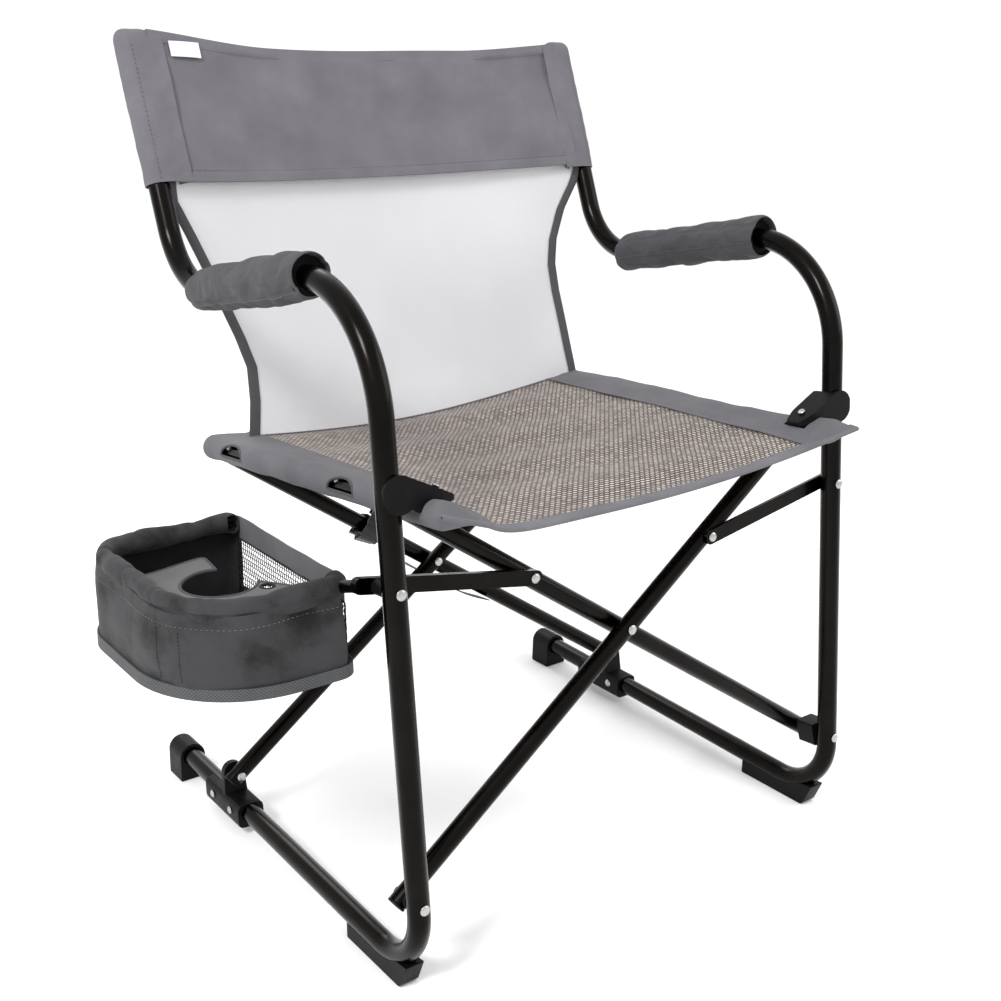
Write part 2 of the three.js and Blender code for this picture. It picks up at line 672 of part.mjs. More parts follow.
function bandHalf(side) {
  const edge = HALF_WIDTH - SLEEVE_R - GAP;
  const outline = new THREE.Shape([
    [SEAM_GAP, BAND_SAG - 1.5], [edge, -1.5], [edge, 1.5], [SEAM_GAP, BAND_SAG + 1.5],
  ].map(([u, v]) => new THREE.Vector2(u, v)));
  return onSide(side, alongZ(outline, ...BAND_S));
}

// The mesh hangs from the band's lower edge to the back of the seat.
const MESH_FOOT = [-33, 439];      // [y, z] of the mesh's lower edge
const MESH_HALF_W = [222, 262];    // at its lower and upper edge
const bandFootY = BACK_CORNER[0] + BAND_S[0] * Math.sin(postLean);
const bandFootZ = BACK_CORNER[1] + BAND_S[0] * Math.cos(postLean);
const meshLean = Math.atan2(bandFootY - MESH_FOOT[0], bandFootZ - MESH_FOOT[1]);
const meshHeight = Math.hypot(bandFootY - MESH_FOOT[0], bandFootZ - MESH_FOOT[1]) - 3;
const meshPlane = tilted(...MESH_FOOT, meshLean);

function meshHalf(side) {
  const outline = new THREE.Shape([
    [SEAM_GAP, 0], [MESH_HALF_W[0], 0], [MESH_HALF_W[1], meshHeight], [SEAM_GAP, meshHeight],
  ].map(([u, v]) => new THREE.Vector2(u, v)));
  return onSide(side, alongY(outline, -1, 1));
}

for (const side of [-1, 1]) {
  const name = sideName(side);
  place(posts, `back_sleeve_${name}`, postSleeve(side), GREY_CLOTH);
  place(posts, `back_band_${name}`, bandHalf(side), GREY_CLOTH);
  place(meshPlane, `back_mesh_${name}`, meshHalf(side), WHITE_MESH);
}

// ---------------------------------------------------------------- carry strap
// Black webbing kept on the rear cross tube: a gathered band round the tube and a slack loop.
const STRAP_HALF_W = 10;
const STRAP_BAND = [404, 446];     // along the tube from its lower pivot
const STRAP_LOOP = [230, 396];
const STRAP_SAG = 44;

function strapBand() {
  const [from, to] = STRAP_BAND.map((distance) => alongTube(1, rearD(1), distance));
  return bar(from, to, ring(15, CROSS_R + GAP, 10, 16));
}

function strapLoop() {
  const d = rearD(1);
  const under = (CROSS_R + GAP * 2) / Math.cos(crossAngle);
  const [low, high] = STRAP_LOOP.map((distance) => alongTube(1, d, distance));
  const below = (point, across) => [point.x + across, point.z - under - across * Math.tan(crossAngle)];
  const middle = [(low.x + high.x) / 2, (low.z + high.z) / 2];
  const outline = new THREE.Shape();
  outline.moveTo(...below(low, 0));
  outline.quadraticCurveTo(middle[0], middle[1] - STRAP_SAG, ...below(high, 0));
  outline.lineTo(...below(high, 4));
  outline.quadraticCurveTo(middle[0], middle[1] - STRAP_SAG + 5, ...below(low, -4));
  outline.closePath();
  return alongY(outline, d - STRAP_HALF_W, d + STRAP_HALF_W, 8);
}

place(leaning, 'strap_band', strapBand(), WEBBING);
place(leaning, 'strap_loop', strapLoop(), WEBBING);

// The chair stands on z = 0, centred on its own extent.
chair.updateMatrixWorld(true);
const extent = new THREE.Box3().setFromObject(chair, true);
const middle = extent.getCenter(V(0, 0, 0));
chair.position.set(-middle.x, -middle.y, 0);
chair.updateMatrixWorld(true);

export default chair;
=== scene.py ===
import json
import math

import bpy
import bmesh
import numpy as np
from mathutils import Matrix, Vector, noise

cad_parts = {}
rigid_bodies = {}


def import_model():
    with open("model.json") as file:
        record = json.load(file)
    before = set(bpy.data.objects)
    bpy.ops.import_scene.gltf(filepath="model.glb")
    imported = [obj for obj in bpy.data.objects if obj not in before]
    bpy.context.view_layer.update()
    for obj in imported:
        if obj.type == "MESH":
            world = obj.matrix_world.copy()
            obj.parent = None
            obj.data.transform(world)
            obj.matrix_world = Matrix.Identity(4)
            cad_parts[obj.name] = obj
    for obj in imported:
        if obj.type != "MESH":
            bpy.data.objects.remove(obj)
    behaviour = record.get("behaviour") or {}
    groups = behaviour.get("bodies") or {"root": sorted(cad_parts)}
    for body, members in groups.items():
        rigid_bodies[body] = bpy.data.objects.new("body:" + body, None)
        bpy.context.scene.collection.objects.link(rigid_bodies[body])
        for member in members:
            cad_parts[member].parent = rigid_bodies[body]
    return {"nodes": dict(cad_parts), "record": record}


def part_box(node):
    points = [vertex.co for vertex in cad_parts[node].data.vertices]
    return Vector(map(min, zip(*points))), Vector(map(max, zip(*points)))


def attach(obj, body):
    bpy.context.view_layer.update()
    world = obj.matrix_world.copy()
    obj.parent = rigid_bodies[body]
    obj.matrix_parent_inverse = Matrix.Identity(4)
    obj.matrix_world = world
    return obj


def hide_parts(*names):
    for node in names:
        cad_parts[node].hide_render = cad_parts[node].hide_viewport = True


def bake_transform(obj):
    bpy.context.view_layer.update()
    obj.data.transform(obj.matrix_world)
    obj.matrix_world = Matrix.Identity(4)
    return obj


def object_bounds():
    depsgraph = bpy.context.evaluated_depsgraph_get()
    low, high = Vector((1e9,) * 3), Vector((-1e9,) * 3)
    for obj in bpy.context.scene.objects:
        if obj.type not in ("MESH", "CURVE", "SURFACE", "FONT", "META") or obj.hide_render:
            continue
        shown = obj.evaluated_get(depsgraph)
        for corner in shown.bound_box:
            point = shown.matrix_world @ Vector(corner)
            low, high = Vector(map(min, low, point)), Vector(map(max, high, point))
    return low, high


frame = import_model()
cad_low, cad_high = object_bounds()
nodes = frame["nodes"]

# ---------------------------------------------------------------- driving dimensions
# Local lengths are in millimetres, as on a drawing. A layout turns them into metres.
MM = 0.001
SIDE_X = 279.0            # plane of the side frames
SIDE_R = 11.0
CROSS_R = 9.5
WALL = 1.5
LEAN = math.atan(0.0922)  # legs, pivots and seat rails lean back together
POST_LEAN = 0.37010
REAR_TIP = (66, 30.2)
FRONT_CORNER = (-470, 19.7)
ARM_CORNER = (-410.5, 665.6)
BACK_CORNER = (-36.7, 595.9)
POST_TIP = (54.9, 832)
BEND_RADII = (63, 113, 80)
RAIL_X = 243.0
RAIL_N = 364.0
RAIL_D = (-28, 421)
PIVOT_N = 193.0
FRONT_MID_D = 34.7
REAR_MID_D = 387.0
SCISSOR_STEP = 19.5
BAND_S = (112, 266)
MESH_FOOT = (-33, 439)
MESH_HEIGHT = 261.0
MESH_LEAN = 0.13995
MESH_FOOT_D = 397.5
MESH_EDGE = {             # half width of the mesh at each height, on its two sides
    -1: [(0, 213), (35, 207), (70, 205), (100, 214), (130, 226), (165, 240), (200, 256),
         (230, 271), (262, 290)],
    1: [(0, 246), (35, 240), (70, 235), (104, 230), (136, 228), (165, 233), (200, 247),
        (230, 266), (262, 280)],
}
SEAT_X = 205.0            # where the weave meets its sleeves
SEAT_D = (-38, 400)
MESH_LIMIT = 273.0        # where the mesh stops short of the posts
SLEEVE_MIDDLE_S = 188     # middle of the back's pockets, up the posts
REAR_FOOT_Y = 40          # front of the rear feet
BAG_TOP = 384.0
BAG_BOTTOM = 299.0
SHELF_Z = 356.5
WEAVE_T = 1.8             # thickness of each cloth
SLEEVE_T = 1.1
BINDING_T = 0.9
BAND_T = 2.4
POCKET_T = 1.3
LABEL_T = 0.7
MESH_T = 0.8
PAD_T = 1.3
BAG_T = 1.6
LINING_T = 1.0
NET_BAND_T = 1.4
RIM_T = 1.2
TRIM_T = 1.3
BOTTOM_T = 1.8
SHELF_T = 1.6
WEBBING_T = 1.3
SIDES = {"left": -1, "right": 1}


def smooth(a, b, t):
    t = np.clip((np.asarray(t, float) - a) / (b - a), 0, 1)
    return t * t * (3 - 2 * t)


def unit(vectors):
    return vectors / np.linalg.norm(vectors, axis=-1, keepdims=True)


def spots_at(x, y, z):
    """Points from three coordinates, each one a number or an array."""
    return np.stack(np.broadcast_arrays(x, y, z), axis=-1)


def around(count):
    """Even angles once round."""
    return np.linspace(0, 2 * math.pi, count, endpoint=False)


def distances(path):
    """How far along a path each of its points lies."""
    return np.concatenate([[0], np.cumsum(np.linalg.norm(np.diff(path, axis=0), axis=1))])


def along_path(at, path):
    """The points that lie at given distances along a path."""
    steps = distances(path)
    return np.stack([np.interp(at, steps, column) for column in path.T], axis=-1)


def centre_of(*names):
    corners = [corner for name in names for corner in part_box(name)]
    return np.mean([tuple(corner) for corner in corners], axis=0)


class Layout:
    """Tilted axes: x across, the second to the back, the third up, all in millimetres."""

    def __init__(self, lean, known, local):
        self.axes = np.array([
            [1, 0, 0],
            [0, math.cos(lean), -math.sin(lean)],
            [0, math.sin(lean), math.cos(lean)],
        ])
        self.origin = np.asarray(known, float) - np.asarray(local, float) @ self.axes * MM

    def __call__(self, local):
        return self.origin + np.asarray(local, float) @ self.axes * MM


rails = centre_of("seat_rail_left", "seat_rail_right")
rear_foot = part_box("rear_foot_left")[0]
LEANING = Layout(LEAN, rails, (0, sum(RAIL_D) / 2, RAIL_N))
POSTS = Layout(POST_LEAN, centre_of("back_sleeve_left", "back_sleeve_right"),
               (0, 0, SLEEVE_MIDDLE_S))
FLOOR = Layout(0, (rails[0], rear_foot.y, 0), (0, REAR_FOOT_Y, 0))
MESH = Layout(MESH_LEAN, FLOOR((0, *MESH_FOOT)), (0, 0, 0))


# ---------------------------------------------------------------- materials
class Look:
    """A principled material and short ways to add nodes to it."""

    def __init__(self, name, colour, roughness, **values):
        self.material = bpy.data.materials.new(name)
        self.material.use_nodes = True
        self.tree = self.material.node_tree
        self.shader = self.tree.nodes["Principled BSDF"]
        self.shader.inputs["Base Color"].default_value = (*colour, 1)
        self.shader.inputs["Roughness"].default_value = roughness
        for key, value in values.items():
            self.shader.inputs[key.replace("_", " ")].default_value = value

    def node(self, kind, settings=None, **inputs):
        made = self.tree.nodes.new(kind)
        for key, value in (settings or {}).items():
            setattr(made, key, value)
        for key, value in inputs.items():
            socket = made.inputs[int(key[1:]) if key[0] == "i" and key[1:].isdigit()
                                 else key.replace("_", " ")]
            if isinstance(value, bpy.types.NodeSocket):
                self.tree.links.new(value, socket)
            else:
                socket.default_value = value
        return made

    def math(self, operation, a, b=0.0):
        return self.node("ShaderNodeMath", {"operation": operation}, i0=a, i1=b).outputs[0]

    def drive(self, socket, value):
        self.tree.links.new(value, self.shader.inputs[socket])

    def place(self, source):
        return self.node("ShaderNodeTexCoord").outputs[source]

    def threads(self, place, operation, pitch):
        """Waves across and along, a pitch in millimetres apart."""
        split = self.node("ShaderNodeSeparateXYZ", Vector=place)
        turns = 2 * math.pi / (pitch * MM)
        return [self.math(operation, self.math("MULTIPLY", split.outputs[axis], turns))
                for axis in (0, 1)]

    def noise(self, place, scale, detail=3.0, roughness=0.55):
        made = self.node("ShaderNodeTexNoise", Vector=place, Scale=scale, Detail=detail,
                         Roughness=roughness)
        return made.outputs["Fac"]

    def ramp(self, factor, stops):
        made = self.node("ShaderNodeValToRGB", Fac=factor)
        elements = made.color_ramp.elements
        while len(elements) < len(stops):
            elements.new(0.5)
        for element, (position, colour) in zip(elements, stops):
            element.position = position
            element.color = (*colour, 1) if len(colour) == 3 else colour
        return made.outputs["Color"]

    def shade(self, factor, colour, *stops):
        """Darker and lighter shades of a colour, each stop a position and a share."""
        shades = [(position, tuple(share * part for part in colour)) for position, share in stops]
        self.drive("Base Color", self.ramp(factor, shades))

    def bump(self, height, strength, distance, after=None):
        inputs = {"Height": height, "Strength": strength, "Distance": distance}
        if after is not None:
            inputs["Normal"] = after
        return self.node("ShaderNodeBump", None, **inputs).outputs["Normal"]


def grey(value):
    return (value,) * 3


def coated_metal(name, colour, roughness, metallic):
    look = Look(name, colour, roughness, Metallic=metallic, Coat_Weight=0.08,
                Coat_Roughness=0.1)
    place = look.place("Object")
    wear = look.noise(place, 38.0, 5.0)
    specks = look.noise(place, 900.0, 2.0)
    look.shade(wear, colour, (0.3, 0.82), (0.7, 1.22))
    look.drive("Roughness", look.ramp(wear, [(0.3, grey(roughness - 0.05)),
                                             (0.72, grey(roughness + 0.08))]))
    look.drive("Normal", look.bump(specks, 0.10, 0.0002))
    return look.material


def moulded_plastic(name, colour, roughness, specular):
    look = Look(name, colour, roughness, Specular_IOR_Level=specular)
    place = look.place("Object")
    grain = look.noise(place, 1400.0, 2.0)
    scuffs = look.noise(place, 60.0, 6.0, 0.7)
    look.shade(scuffs, colour, (0.35, 0.75), (0.75, 1.5))
    look.drive("Roughness", look.ramp(scuffs, [(0.3, grey(roughness - 0.06)),
                                               (0.8, grey(roughness + 0.12))]))
    look.drive("Normal", look.bump(grain, 0.22, 0.0003))
    return look.material


def woven_cloth(name, colour, pitch=0.9, contrast=0.24, mottle=0.12, source="UV"):
    """Plain-woven polyester: crossed threads a pitch apart, with faint mottling."""
    look = Look(name, colour, 0.88, Sheen_Weight=0.06, Sheen_Roughness=0.5,
                Specular_IOR_Level=0.2)
    place = look.place(source)
    across, along = look.threads(place, "SINE", pitch)
    threads = look.math("MULTIPLY_ADD", look.math("MULTIPLY", across, along), 0.5)
    threads.node.inputs[2].default_value = 0.5
    cloud = look.noise(place, 14.0, 5.0, 0.6)
    fuzz = look.noise(place, 1100.0, 2.0)
    mix = look.math("ADD", look.math("MULTIPLY", threads, contrast),
                    look.math("MULTIPLY", look.math("SUBTRACT", cloud, 0.5), mottle * 6))
    mix = look.math("ADD", mix, look.math("MULTIPLY", fuzz, 0.35))
    look.shade(mix, colour, (0.02, 1 - 1.2 * contrast), (0.62, 1 + 1.4 * contrast))
    normal = look.bump(threads, 0.30, 0.0003)
    look.drive("Normal", look.bump(fuzz, 0.16, 0.0003, normal))
    return look.material


def seat_weave():
    """Coated yarn: short beige floats in half-offset rows with dark gaps between them."""
    look = Look("seat_weave", (0.26, 0.22, 0.2), 0.62, Sheen_Weight=0.1)
    place = look.place("UV")
    scaled = look.node("ShaderNodeVectorMath", {"operation": "SCALE"}, i0=place)
    scaled.inputs["Scale"].default_value = 1000.0
    turned = look.node("ShaderNodeMapping", Vector=scaled.outputs[0])
    turned.inputs["Rotation"].default_value = (0, 0, 0.06)
    brick = look.node("ShaderNodeTexBrick", {"offset": 0.5}, Vector=turned.outputs[0], Scale=1.0,
                      Mortar_Size=1.05, Mortar_Smooth=0.35, Brick_Width=6.2, Row_Height=4.1)
    brick.inputs["Color1"].default_value = (0.57, 0.475, 0.42, 1)
    brick.inputs["Color2"].default_value = (0.26, 0.21, 0.185, 1)
    brick.inputs["Mortar"].default_value = (0.010, 0.0078, 0.0072, 1)
    cloud = look.noise(place, 9.0, 3.0)
    shade = look.ramp(cloud, [(0.3, grey(0.86)), (0.7, grey(1.0))])
    mixed = look.node("ShaderNodeMix", {"data_type": "RGBA", "blend_type": "MULTIPLY"}, i0=1.0,
                      i6=brick.outputs["Color"], i7=shade)
    look.drive("Base Color", mixed.outputs[2])
    height = look.math("SUBTRACT", 1.0, brick.outputs["Fac"])
    look.drive("Normal", look.bump(height, 0.6, 0.0009))
    return look.material


def open_net(name, colour, pitch, hole, clear):
    """A fine net: the holes of the pattern let light through."""
    look = Look(name, colour, 0.7, Sheen_Weight=0.2)
    place = look.place("UV")
    across, along = look.threads(place, "COSINE", pitch)
    round_hole = look.math("GREATER_THAN", look.math("ADD", across, along), hole)
    alpha = look.math("SUBTRACT", 1.0, look.math("MULTIPLY", round_hole, clear))
    look.drive("Alpha", alpha)
    cloud = look.noise(place, 6.0, 3.0)
    look.shade(cloud, colour, (0.35, 0.94), (0.65, 1))
    look.drive("Normal", look.bump(look.math("ADD", across, along), 0.15, 0.0002))
    return look.material


def webbing_look(name, colour):
    look = Look(name, colour, 0.8, Sheen_Weight=0.3)
    place = look.place("UV")
    wave = look.node("ShaderNodeTexWave", {"bands_direction": "DIAGONAL"}, Vector=place,
                     Scale=170.0, Distortion=0.6, Detail=1.0)
    look.shade(wave.outputs["Fac"], colour, (0.2, 0.6), (0.8, 1.7))
    look.drive("Normal", look.bump(wave.outputs["Fac"], 0.5, 0.0004))
    return look.material


BRONZE = coated_metal("bronze_steel", (0.0060, 0.0049, 0.0043), 0.25, 0.97)
ZINC = coated_metal("zinc", (0.42, 0.42, 0.41), 0.3, 1.0)
PLASTIC = moulded_plastic("black_plastic", (0.0038, 0.0038, 0.0042), 0.42, 0.09)
BAND_CLOTH = woven_cloth("band_cloth", (0.128, 0.123, 0.137))
SLEEVE_CLOTH = woven_cloth("sleeve_cloth", (0.112, 0.110, 0.120))
PAD_CLOTH = woven_cloth("pad_cloth", (0.056, 0.054, 0.060))
BASKET_CLOTH = woven_cloth("basket_cloth", (0.0215, 0.0208, 0.0222), 2.2, 0.6, 0.55)
LINING_CLOTH = woven_cloth("lining_cloth", (0.015, 0.015, 0.017), 1.3, 0.3, 0.3)
SHELF_CLOTH = woven_cloth("shelf_cloth", (0.125, 0.122, 0.124), 1.1)
EDGE_CLOTH = woven_cloth("edge_cloth", (0.118, 0.116, 0.126), 1.4, 0.35)
BINDING_CLOTH = woven_cloth("binding_cloth", (0.060, 0.060, 0.065), 1.2, 0.3)
TRIM_CLOTH = woven_cloth("trim_cloth", (0.036, 0.037, 0.039), 3.4, 0.85)
FOAM = moulded_plastic("foam", (0.007, 0.007, 0.0075), 0.95, 0.08)
SEAT_WEAVE = seat_weave()
WHITE_MESH = open_net("white_mesh", (0.64, 0.64, 0.66), 1.3, 0.9, 0.85)
BLACK_NET = woven_cloth("black_net", (0.016, 0.0155, 0.017), 0.8)
WEBBING = webbing_look("webbing", (0.014, 0.014, 0.015))
THREAD = woven_cloth("thread", (0.22, 0.21, 0.23), 0.6, source="Object")
DARK_THREAD = woven_cloth("dark_thread", (0.03, 0.03, 0.032), 0.6, source="Object")
LABEL = woven_cloth("label_cloth", (0.70, 0.68, 0.71), 0.7, 0.08, 0.03)


# ---------------------------------------------------------------- mesh building
def shown(name, data):
    made = bpy.data.objects.new(name, data)
    bpy.context.scene.collection.objects.link(made)
    return made


def set_all(thing, **settings):
    for key, value in settings.items():
        setattr(thing, key, value)


def body_name(node):
    groups = frame["record"]["behaviour"]["bodies"]
    return next(body for body, members in groups.items() if node in members)


def stand_for(made, node):
    """Lets a piece take the place of a CAD node and move with it."""
    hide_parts(node)
    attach(made, body_name(node))
    return made


def new_object(name, verts, faces, look, uvs=None, smooth_angle=50):
    mesh = bpy.data.meshes.new(name)
    mesh.from_pydata([tuple(v) for v in verts], [], [tuple(int(i) for i in f) for f in faces])
    mesh.materials.append(look)
    if uvs is not None:
        layer = mesh.uv_layers.new(name="threads")
        loops = np.zeros(len(mesh.loops), int)
        mesh.loops.foreach_get("vertex_index", loops)
        layer.data.foreach_set("uv", np.asarray(uvs, float)[loops].ravel())
    mesh.validate()
    mesh.shade_smooth()
    mesh.set_sharp_from_angle(angle=math.radians(smooth_angle))
    made = shown(name, mesh)
    return made


def grid_faces(rows, cols, closed=False):
    """The cells of a grid of points. closed joins its last column to its first."""
    faces = []
    for i in range(0, (rows - 1) * cols, cols):
        for j in range(cols if closed else cols - 1):
            after = (j + 1) % cols
            faces.append((i + j, i + after, i + cols + after, i + cols + j))
    return faces


def grid_normals(points, closed=False):
    across = np.gradient(points, axis=1)
    if closed:
        across = np.roll(points, -1, 1) - np.roll(points, 1, 1)
    normal = np.cross(np.gradient(points, axis=0), across)
    return normal / np.maximum(np.linalg.norm(normal, axis=2, keepdims=True), 1e-12)


def lengths(points):
    """Distance along the rows and along the columns of a grid, for its threads."""
    down = np.linalg.norm(np.diff(points, axis=0), axis=2).mean(1)
    across = np.linalg.norm(np.diff(points, axis=1), axis=2).mean(0)
    v = np.concatenate([[0], np.cumsum(down)])
    u = np.concatenate([[0], np.cumsum(across)])
    return np.stack(np.meshgrid(u, v), axis=2)


def cloth(name, points, thickness, look, closed=False, keep=None, threads=None):
    """A closed sheet of even thickness from a grid of points. closed joins the last column
    to the first. keep says which cells of the grid are cloth."""
    points = np.asarray(points, float)
    rows, cols = points.shape[:2]
    normal = grid_normals(points, closed)
    half = normal * thickness * MM / 2
    verts = np.concatenate([(points + half).reshape(-1, 3), (points - half).reshape(-1, 3)])
    cells = grid_faces(rows, cols, closed)
    if keep is not None:
        wide = cols if closed else cols - 1
        cells = [f for k, f in enumerate(cells) if keep[k // wide][k % wide]]
    count = rows * cols
    faces = [tuple(reversed(f)) for f in cells] + [tuple(i + count for i in f) for f in cells]
    edges = {}
    for f in cells:
        for a, b in zip(f, f[1:] + f[:1]):
            edges[(a, b)] = edges.get((a, b), 0) + 1
    faces += [(a, b, b + count, a + count) for a, b in edges if (b, a) not in edges]
    used = sorted({i for f in faces for i in f})
    index = {old: new for new, old in enumerate(used)}
    uv = lengths(points) if threads is None else np.asarray(threads, float)
    uvs = np.concatenate([uv.reshape(-1, 2)] * 2)[used]
    faces = [tuple(index[i] for i in f) for f in faces]
    return new_object(name, verts[used], faces, look, uvs)


def rounded_path(corners, radii, step=4.0):
    corners = [np.asarray(c, float) for c in corners]
    path = [corners[0]]
    for i, radius in enumerate(radii):
        before, corner, after = corners[i:i + 3]
        into = unit(corner - before)
        out = unit(after - corner)
        turn = math.acos(np.clip(into @ out, -1, 1))
        side = unit(out - into * (into @ out))
        start = corner - into * radius * math.tan(turn / 2)
        centre = start + side * radius
        count = max(6, int(radius * turn / step))
        for k in range(count + 1):
            angle = turn * k / count
            path.append(centre - side * radius * math.cos(angle) + into * radius * math.sin(angle))
    path.append(corners[-1])
    return np.array(path)


def frames_along(path):
    """A pair of sideways directions at every point of a path, without twist."""
    tangent = unit(np.gradient(path, axis=0))
    sides = [unit(np.cross(tangent[0], (1, 0, 0) if abs(tangent[0][0]) < 0.9 else (0, 0, 1)))]
    for t in tangent[1:]:
        sides.append(unit(sides[-1] - t * (sides[-1] @ t)))
    sides = np.array(sides)
    return tangent, sides, np.cross(tangent, sides)


def tube(name, path, radius, look, sides, hollow=0.0, shape=None):
    """A round tube through points in metres. Its radii are in millimetres, and hollow is the
    wall at its open ends. shape gives a radius at each point."""
    path = np.asarray(path, float)
    tangent, right, up = frames_along(path)
    radii = np.full(len(path), radius) if shape is None else np.asarray(shape, float)
    if hollow:
        depth = 12 * MM
        ends = [(path[0] + tangent[0] * depth, radius - hollow), (path[0], radius - hollow)]
        tail = [(path[-1], radius - hollow), (path[-1] - tangent[-1] * depth, radius - hollow)]
    else:
        ends = [(path[0], radii[0] * 0.8)]
        tail = [(path[-1], radii[-1] * 0.8)]
    spots = [(p, r, right[0], up[0]) for p, r in ends]
    spots += [(p, r, right[i], up[i]) for i, (p, r) in enumerate(zip(path, radii))]
    spots += [(p, r, right[-1], up[-1]) for p, r in tail]
    verts = np.array([[p + (a * math.cos(t) + b * math.sin(t)) * r * MM for t in around(sides)]
                      for p, r, a, b in spots])
    faces = grid_faces(len(spots), sides, closed=True)
    last = (len(spots) - 1) * sides
    faces.append(tuple(reversed(range(sides))))
    faces.append(tuple(range(last, last + sides)))
    uv = lengths(verts).reshape(-1, 2)
    made = new_object(name, verts.reshape(-1, 3), faces, look, uv)
    return fix_normals(made)


def fix_normals(made):
    body = bmesh.new()
    body.from_mesh(made.data)
    bmesh.ops.recalc_face_normals(body, faces=body.faces)
    body.to_mesh(made.data)
    body.free()
    return made


FLAT_EDGE = 1.5           # angles in degrees: rejoined below, drawn sharp or rounded above
SHARP_EDGE = 32
BEVEL_EDGE = 38


def refined(name, look, width, rounds=0):
    """A CAD piece with its flat faces rejoined and its sharp edges rounded."""
    source = nodes[name]
    body = bmesh.new()
    body.from_mesh(source.data)
    bmesh.ops.remove_doubles(body, verts=body.verts, dist=2e-6)
    bmesh.ops.dissolve_limit(body, angle_limit=math.radians(FLAT_EDGE), verts=body.verts,
                             edges=body.edges)
    mesh = bpy.data.meshes.new(name + "_fine")
    body.to_mesh(mesh)
    body.free()
    mesh.materials.append(look)
    mesh.shade_smooth()
    made = shown(name + "_fine", mesh)
    if width:
        set_all(made.modifiers.new("round", "BEVEL"), width=width * MM, segments=3,
                limit_method="ANGLE", angle_limit=math.radians(BEVEL_EDGE))
    if rounds:
        set_all(made.modifiers.new("smooth", "SUBSURF"), levels=rounds, render_levels=rounds)
    mesh.set_sharp_from_angle(angle=math.radians(SHARP_EDGE))
    return stand_for(made, name)


STITCH_LENGTH = 3.2
STITCH_LIFT = 0.25
# a thread has two ends, points 0 and 4, and four points round its middle
THREAD_FACES = ((0, 1, 2), (0, 2, 3), (4, 2, 1), (4, 3, 2), (0, 5, 1), (0, 3, 5), (4, 1, 5),
                (4, 5, 3))


def stitches(name, line, normal, look, gap=1.6, thick=0.55):
    """A row of short threads along a line of points, standing a little proud of the cloth."""
    line = np.asarray(line, float)
    normal = np.asarray(normal, float)
    steps = distances(line)
    pitch = (gap + STITCH_LENGTH) * MM
    starts = np.arange(int(steps[-1] / pitch)) * pitch
    verts, faces = [], []
    ends = [along_path(at, line) for at in (starts, starts + STITCH_LENGTH * MM)]
    outs = unit(np.stack([np.interp(starts, steps, column) for column in normal.T], axis=-1))
    for first, last, out in zip(*ends, outs):
        side = np.cross(last - first, out)
        side *= thick * MM / 2 / max(np.linalg.norm(side), 1e-9)
        rise = out * (STITCH_LIFT + thick / 2) * MM
        middle = (first + last) / 2
        start = len(verts)
        verts += [first, middle + side, middle + rise, middle - side, last,
                  middle - out * thick * MM / 2]
        faces += [tuple(start + i for i in f) for f in THREAD_FACES]
    return new_object(name, verts, faces, look, smooth_angle=80)


def ripple(points, size, amount, seed, stretch=(1, 1, 1)):
    """Smooth noise between -amount and amount, in millimetres, at each point."""
    points = np.asarray(points, float)
    flat = points.reshape(-1, 3) * np.asarray(stretch) / (size * MM) + seed * 17.3
    values = np.array([noise.noise(Vector(p)) for p in flat])
    return (values * amount * 2).reshape(points.shape[:-1])


# ---------------------------------------------------------------- hard parts
SIDE_CORNERS = (REAR_TIP, FRONT_CORNER, ARM_CORNER, BACK_CORNER, POST_TIP)
CROSS_ANGLE = math.atan2(PIVOT_N, SIDE_X)
TUBE_LENGTH = (SIDE_X + RAIL_X) / math.cos(CROSS_ANGLE)
FOOT_STUB = 9.0
SCREW_Y = (-95, -50)
SCREW_Z = 26.25
SCREW_END_X = SIDE_X - 15.8
SCREW_DOME = ((0.0, 5.0), (1.2, 4.6), (2.3, 2.6), (2.6, 0.8))      # heights and radii


def frame_tube(node, path, radius, sides=32):
    stand_for(tube(node + "_tube", path, radius, BRONZE, sides, hollow=WALL), node)


def along_tube(side, d, distance):
    return (side * (SIDE_X - distance * math.cos(CROSS_ANGLE)), d,
            distance * math.sin(CROSS_ANGLE))


for name, side in SIDES.items():
    bends = rounded_path([(side * SIDE_X, y, z) for y, z in SIDE_CORNERS], BEND_RADII)
    frame_tube(f"side_frame_{name}", FLOOR(bends), SIDE_R, 36)

for name, side in SIDES.items():
    for place, middle in (("front", FRONT_MID_D), ("rear", REAR_MID_D)):
        d = middle + side * SCISSOR_STEP / 2
        ends = np.linspace(-FOOT_STUB, TUBE_LENGTH - CROSS_R, 12)
        path = LEANING([along_tube(side, d, s) for s in ends])
        frame_tube(f"{place}_cross_tube_{name}", path, CROSS_R)
    rail = LEANING([(side * RAIL_X, d, RAIL_N) for d in np.linspace(*RAIL_D, 8)])
    frame_tube(f"seat_rail_{name}", rail, CROSS_R)
    spots = LEANING([(side * RAIL_X, RAIL_D[1] + step, RAIL_N) for step in (0.2, 2.8)])
    cap = tube(f"rail_cap_{name}", spots, CROSS_R, PLASTIC, 24)
    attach(cap, body_name(f"seat_rail_{name}"))

for name, side in SIDES.items():
    for k, y in enumerate(SCREW_Y):
        spots = FLOOR([(side * (SCREW_END_X - height), y, SCREW_Z) for height, _ in SCREW_DOME])
        radii = [radius for _, radius in SCREW_DOME]
        end = tube(f"bracket_screw_end_{name}_{k + 1}", spots, radii[0], ZINC, 24, shape=radii)
        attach(end, body_name(f"rear_bracket_{name}"))

